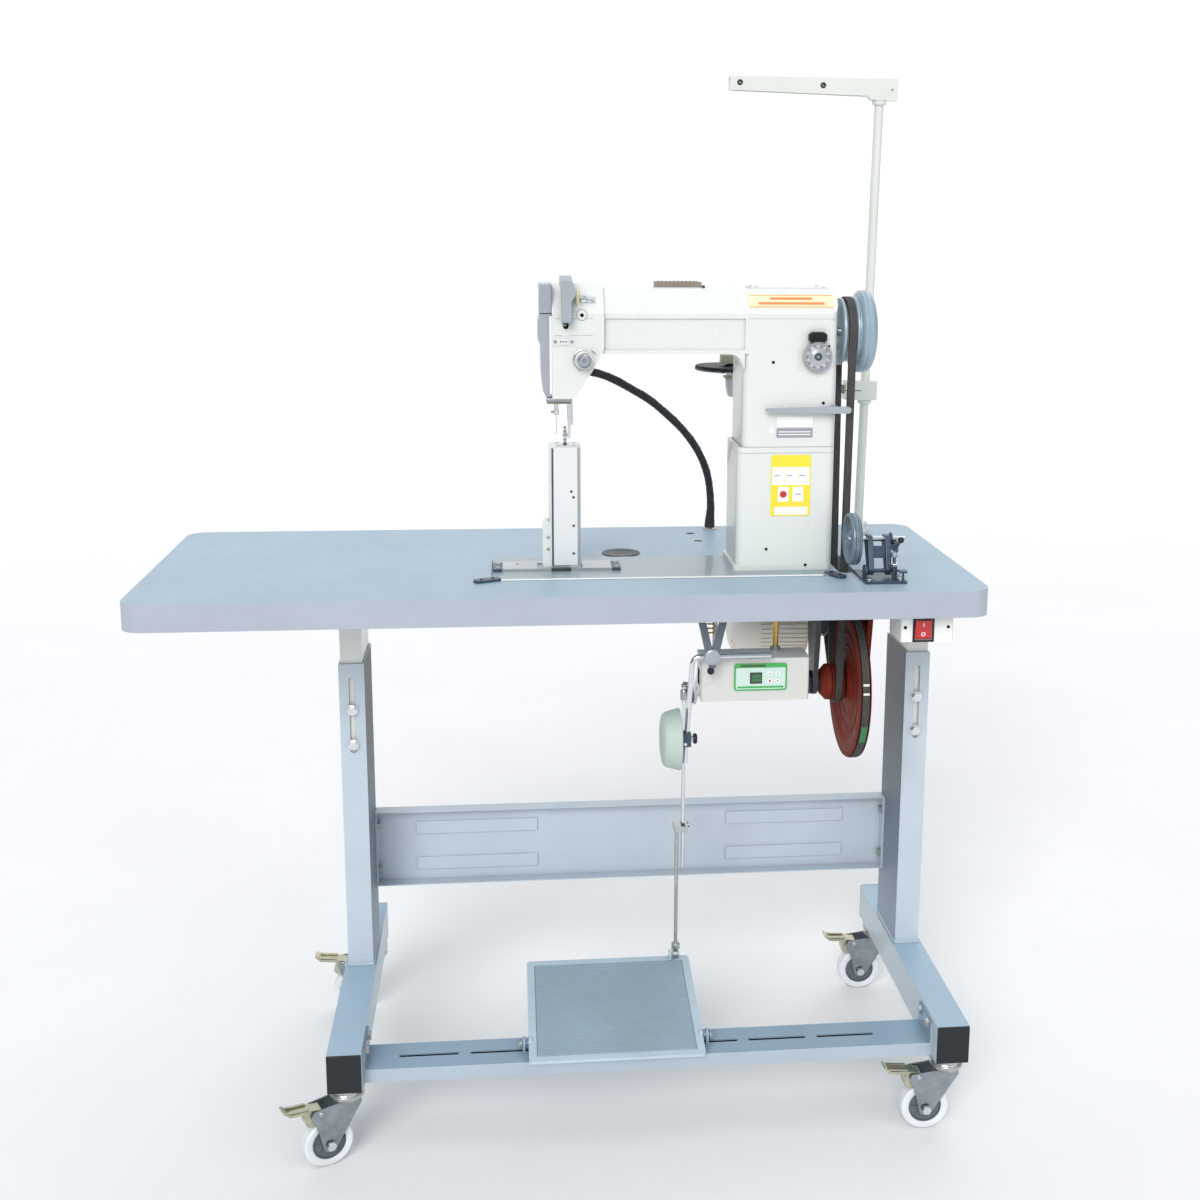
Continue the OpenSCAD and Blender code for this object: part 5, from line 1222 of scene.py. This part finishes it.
def knee():
    """Knee lifter: bracket with spring, bent rod and moulded pad."""
    refined("knee_bracket", "bracket", 1.2, 3)
    x, z = 212, 754
    rod_y = -189
    b = Shape("knee_bracket_trim")
    coil = [(x + 6.2 * math.cos(a), -183 + 6.2 * math.sin(a), 783 + a * 1.05)
            for a in (i * 0.35 for i in range(76))]
    b.tube(coil, 1.15, "brass", 8)
    b.turned([(0, -2.5), (9, -2.5), (11.6, -1), (12, 2), (0, 2)], "y", (x, -201, z), "face_grey", 32)
    b.disc(5.2, "y", (x - 2, -202.8, 733), 7, "black", 24, 1.2)
    for s in (-1, 1):
        b.bolt((x + s * 21, -184, 816), "z", -1, 4, "zinc", "hex", 3)
    b.done("table", "grey_paint", 0.5)
    rod = Shape("knee_rod")
    rod.turned([(5.1, -5.5), (8.6, -5.5), (9, -5), (9, 5), (8.6, 5.5), (5.1, 5.5)], "y", (x, rod_y, z),
               "chrome", 32)
    lean, drop = math.radians(3.5), 162
    bend = arc(184 + 12, z - 14, 12, 90, 11.25, 9)
    foot = (184 - drop * math.sin(lean), z - 2 - drop * math.cos(lean))
    rod.tube([(px, rod_y, pz) for px, pz in [(300, z - 2), (250, z - 2)] + bend + [foot]], 3.9, "chrome", 20)
    rod.done("knee", "zinc", replaces=("knee_arm",))
    x, _, y, z, _ = wheel("knee_pad")
    pad = Shape("knee_pad_moulded")
    dome = [(0, 0.3), (12, 0.5), (22, 1.2), (30, 2.2), (35, 3.4), (38.4, 5.4), (39.9, 7.4), (41, 10.4),
            (43.6, 20), (45.8, 27.4), (45.6, 29.2), (44.4, 30), (41, 29.9), (38, 29.2), (36, 27), (0, 26.6)]
    pad.turned(dome, "x", (x, y, z), "pad", 96)
    for i in range(10):
        spot = move(x, y, z) @ turn(36 * i, "X")
        pad.box((25.8, -1.1, 12), (28.6, 1.1, 37), "pad", spot)
    piece = pad.done("knee", "mint_rubber")
    clamp = Shape("knee_pad_clamp")
    clamp.box((x + 26, y - 9, z - 10), (x + 45.8, y + 9, z + 10), "dark_steel")
    clamp.disc(4, "x", (x + 45, y, z), 6, "steel", 20)
    clamp.turned([(0, 49.5), (6.6, 49.5), (7.8, 50.6), (7.8, 53.6), (6.6, 55), (0, 55)], "x", (x, y, z),
                 "black", 28)
    clamp.disc(3.4, "x", (x + 54.4, y, z), 1.4, "label_grey", 20, 0.4)
    clamp.bolt((x + 37, y - 9, z - 5), "y", -1, 3.0, "chrome", "hex", 2.4)
    clamp.done("knee", "grey_paint", 0.6)
    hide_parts("knee_pad")


# ---- thread stand ----

POLE_X, POLE_Y = 513, 190
LEAN = move(POLE_X, POLE_Y, 860) @ turn(1, "Y")  # the pole leans a little
TRAY_X = -222  # from the pole


def thread_stand():
    """Thread stand: pole, guide arm, spool tray and clamp."""
    refined("thread_pole", "pole", 0.6, 3)
    refined("thread_arm", "pole", 0.8, 3)
    a = Shape("thread_eyelets")
    for x in (-230, -95):
        a.turned([(1.8, 0), (3.4, -0.4), (4.6, 0), (4.8, 0.7), (2.9, 1.6), (1.9, 1.2)], "y", (x, -10.6, 731),
                 "black_gloss", 28, matrix=LEAN)
        a.ring(1.8, 2.8, 0, 20.4, "y", (x, -10.2, 731), "zinc", 24, matrix=LEAN)
    a.disc(2.0, "y", (18, -11.2, 728), 1.4, "zinc", 16, 0.3, matrix=LEAN)
    a.done("guide_arm", "cream_plastic", 0.2)
    refined("spool_tray", "pole", 1.0, 3, paint=lambda c,
            n: None if c.x >= 470 else "khaki" if c.z < 1131 else "black")
    t = Shape("spool_tray_trim")
    c = (TRAY_X, 0, 0)
    t.turned([(9.5, 269), (64, 270.5), (66, 272.5), (66, 274), (64.5, 274.8), (58, 272.4), (9.5, 271.2)], "z",
             c, "label_white", 72, matrix=LEAN)
    t.turned([(4.2, 277), (63, 277.1), (65.4, 277.9), (63.6, 279.4), (20, 278.4), (14, 281), (9, 282.6),
              (4.2, 283)], "z", c, "black", 72, matrix=LEAN)
    t.turned([(9.1, 228), (11, 230), (13.5, 240), (15, 252), (14.2, 262), (12, 269), (9.1, 269)], "z", c,
             "cream", 36, matrix=LEAN)
    t.box((TRAY_X - 17, -13, 258), (TRAY_X + 34, 13, 262.5), "khaki", LEAN)
    t.box((TRAY_X - 24, -12, 283), (TRAY_X + 17, 12, 297), "khaki", LEAN)
    t.box((TRAY_X + 20, -11, 246), (TRAY_X + 46, 11, 258.4), "khaki", LEAN)
    t.turned([(4.05, 280), (7.6, 282), (9, 300), (8.2, 330), (6, 352), (4.05, 356)], "z", c, "label_white",
             32, matrix=LEAN)
    t.done("tray", "cream_plastic", 0.4)
    k = Shape("tray_clamp_bolt")
    spot = LEAN @ move(-25, -13.2, 242) @ TURN["y"] @ turn(180, "X")
    k.turned([(4.6, 0), (4.6, 3.2), (4.0, 4), (2.4, 4), (2.2, 1.4), (0, 1.4)], "z", (0, 0, 0), "zinc", 24,
             matrix=spot)
    k.box((-36.2, -12.6, 241.2), (-9, -13.3, 242.4), "hole", LEAN)
    k.done("tray", "zinc", 0.2)
    n = Shape("pole_flange_nut")
    n.turned([(8.8, 867), (15.5, 867), (15.5, 876), (14, 877.6), (8.8, 877.6)], "z", (POLE_X, POLE_Y, 0),
             "pole", 6)
    for x, y in arc(POLE_X, POLE_Y, 13.2, 0, 120, 3):
        n.bolt((x, y, 867), "z", 1, 1.8, "zinc", "dome", 0.8)
    n.done("table", "cream_plastic", 0.5)


# ---- bobbin winder, switch, cable ----


def winder():
    """Bobbin winder: base, tilting frame, friction wheel and latch."""
    refined("winder_base", "dark_steel", 0.8, 2)
    frame_arm = Shape("winder_frame")
    for x in (444, 470):
        frame_arm.prism([(-184, 876), (-173, 914), (-166, 924), (-150, 924), (-146, 912), (-168, 872),
                         (-173, 867), (-180, 868)], "x", x, x + 8, "dark_steel")
    frame_arm.box((451, -174, 892), (471, -169, 910), "dark_steel")
    frame_arm.done("winder", "dark_metal", 1.0, 3, replaces=("winder_arm",))
    x0, _, y, z, r = wheel("winder_wheel")
    w = Shape("winder_wheel_turned")
    rim = [(4.05, 2.6), (11, 2.6), (12.4, 4), (14, 6), (22, 6.8), (23, 6.2), (25, 6.2), (26, 6.8), (30, 6.4),
           (31.8, 2.6), (33.4, 0.6), (35, 0.2), (37, 0.8), (r - 0.3, 2.2), (r, 3.4), (r, 12.6), (r - 0.4, 14),
           (37, 15.3), (34.8, 15.9), (33, 15.2), (31.5, 12.8), (30, 10), (14, 9.6), (12, 14), (4.05, 15.4)]
    w.turned(rim, "x", (x0, y, z), "winder_grey", 96)
    for t in (5.2, 10.8):
        w.turned([(r - 0.2, t - 0.5), (r, t - 0.4), (r, t + 0.4), (r - 0.2, t + 0.5)], "x", (x0, y, z),
                 "black", 96)
    w.disc(4.0, "x", (x0 + 1.5, y, z), 72.5, "steel", 24, 0.6)
    w.disc(3.0, "x", (x0 + 73.5, y, z), 14.3, "chrome", 24, 0.8)
    w.disc(9.0, "x", (x0 + 64, y, z), 3.0, "dark_steel", 32, 0.6)
    w.bolt((x0 + 2.6, y, z), "x", -1, 5, "steel", "slot", 2.2)
    w.done("bobbin_wheel", "grey_paint", replaces=("winder_wheel",))
    d = Shape("winder_trim")
    top = table_hi.z
    stud_x, stud_y = 479, -192
    for x in (442, 488):
        d.bolt((x, -196, top + 4), "z", 1, 4.6, "chrome", "slot", 2.4)
    d.tube([(stud_x, stud_y, top + 3.5), (stud_x, stud_y, 899)], 2.4, "dark_steel", 14)
    d.turned([(2.4, 0), (6.2, 0), (6.6, 0.9), (3, 1.6), (3, 2.4), (6.6, 3.1), (6.2, 4), (2.4, 4)], "z",
             (stud_x, stud_y, 884), "chrome", 28)
    d.turned([(0, 0), (4.4, 0), (4.9, 1), (4.9, 6.5), (4, 7.6), (0, 7.6)], "z", (stud_x, stud_y, 897),
             "brushed", 20)
    d.tube([(491, -200, top + 4), (491, -200, 877)], 1.6, "dark_steel", 12)
    d.box((484, -207, 876), (495.5, -194, 879), "dark_steel")
    d.done("table", "dark_metal", 0.4)
    u = Shape("winder_latch")
    u.prism([(-170, 900), (-146, 900), (-143, 906), (-146, 915), (-166, 915), (-170, 910)], "x", 484.2, 490.5,
            "dark_steel")
    u.box((478, -168, 903), (485, -158, 911), "dark_steel")
    u.tube([(487, -168, 908), (487, -183, 913), (487, -194, 922)], 1.8, "steel", 12)
    u.turned([(0, -4.6), (3.4, -3.8), (4.8, 0), (3.4, 3.8), (0, 4.6)], "z", (487, -195, 923), "black", 20)
    u.done("winder", "dark_metal", 0.6)


def switch():
    """Power switch box and its rocker."""
    refined("switch_box", "switchbox", 1.6, 4)
    refined("rocker_switch", "red", 0.8, 3)
    s = Shape("switch_trim")
    y = corners("switch_box")[0].y
    for x0, x1, z0, z1 in ((503, 506, 776.6, 814.6), (532, 535, 776.6, 814.6), (503, 535, 813, 816),
                           (503, 535, 776, 779)):
        s.box((x0, y - 1.2, z0), (x1, y + 0.4, z1), "black")
    for x in (492, 556):
        s.disc(2.6, "y", (x, y - 0.3, 798), 0.8, "hole", 18)
    s.done("table", "cream_plastic", 0.4)
    dots = Shape("rocker_marks")
    face = move(519, -214, 796) @ turn(8, "X")
    dots.ring(2.0, 3.2, 0, 0.25, "y", (0, -7.4, -7.4), "label_white", 24, matrix=face)
    dots.box((-0.6, -7.5, 4.5), (0.6, -6.6, 10), "label_white", face)
    dots.done("rocker", "red_plastic")


def smooth_route(points, steps):
    """A curve through all the points, in that many steps from each to the next."""
    out = []
    n = len(points)
    for i in range(n - 1):
        p = [Vector(points[k]) for k in (max(i - 1, 0), i, i + 1, min(i + 2, n - 1))]
        for s in range(steps):
            t = s / steps
            square = 2 * p[0] - 5 * p[1] + 4 * p[2] - p[3]
            cube = 3 * p[1] - p[0] - 3 * p[2] + p[3]
            out.append(0.5 * ((2 * p[1]) + (p[2] - p[0]) * t + square * t * t + cube * t ** 3))
    out.append(Vector(points[-1]))
    return out


def lift_cable():
    """The presser lift cable, wrapped in spiral tape, flared where it meets the table."""
    route = [(44, -12.5, 1152), (62, -3, 1147), (86, 15, 1136), (114, 40, 1119), (143, 67, 1100),
             (171, 95, 1076), (196, 121, 1052), (219, 147, 1025), (237, 170, 997), (251, 191, 966),
             (259, 208, 934), (263, 222, 900), (263, 232, 868), (263, 232, 812)]
    fine = smooth_route(route, 22)
    radii = []
    mouth, flare, in_hole = 868, 46, 861
    for i, p in enumerate(fine):
        wrap = 0.42 * abs(math.sin(i * 0.55)) + 0.15 * math.sin(i * 0.17)
        near = max(0.0, 1 - abs(p.z - mouth) / flare)
        radii.append(5.9 + wrap + 2.6 * near ** 1.4 if p.z > in_hole else 6.2)
    c = Shape("lift_cable_wrapped")
    c.tube(fine, radii, "cable", 20)
    ridge = []
    for i, (p, radius, (side, up)) in enumerate(list(zip(fine, radii, across(fine)))[:-30]):
        a = i * 0.42
        ridge.append(p + (radius - 0.15) * (math.cos(a) * side + math.sin(a) * up))
    c.tube(ridge, 0.7, "cable", 6)
    c.done("table", "belt_rubber", replaces=("lift_conduit",))


treadle()
knee()
thread_stand()
winder()
switch()
lift_cable()
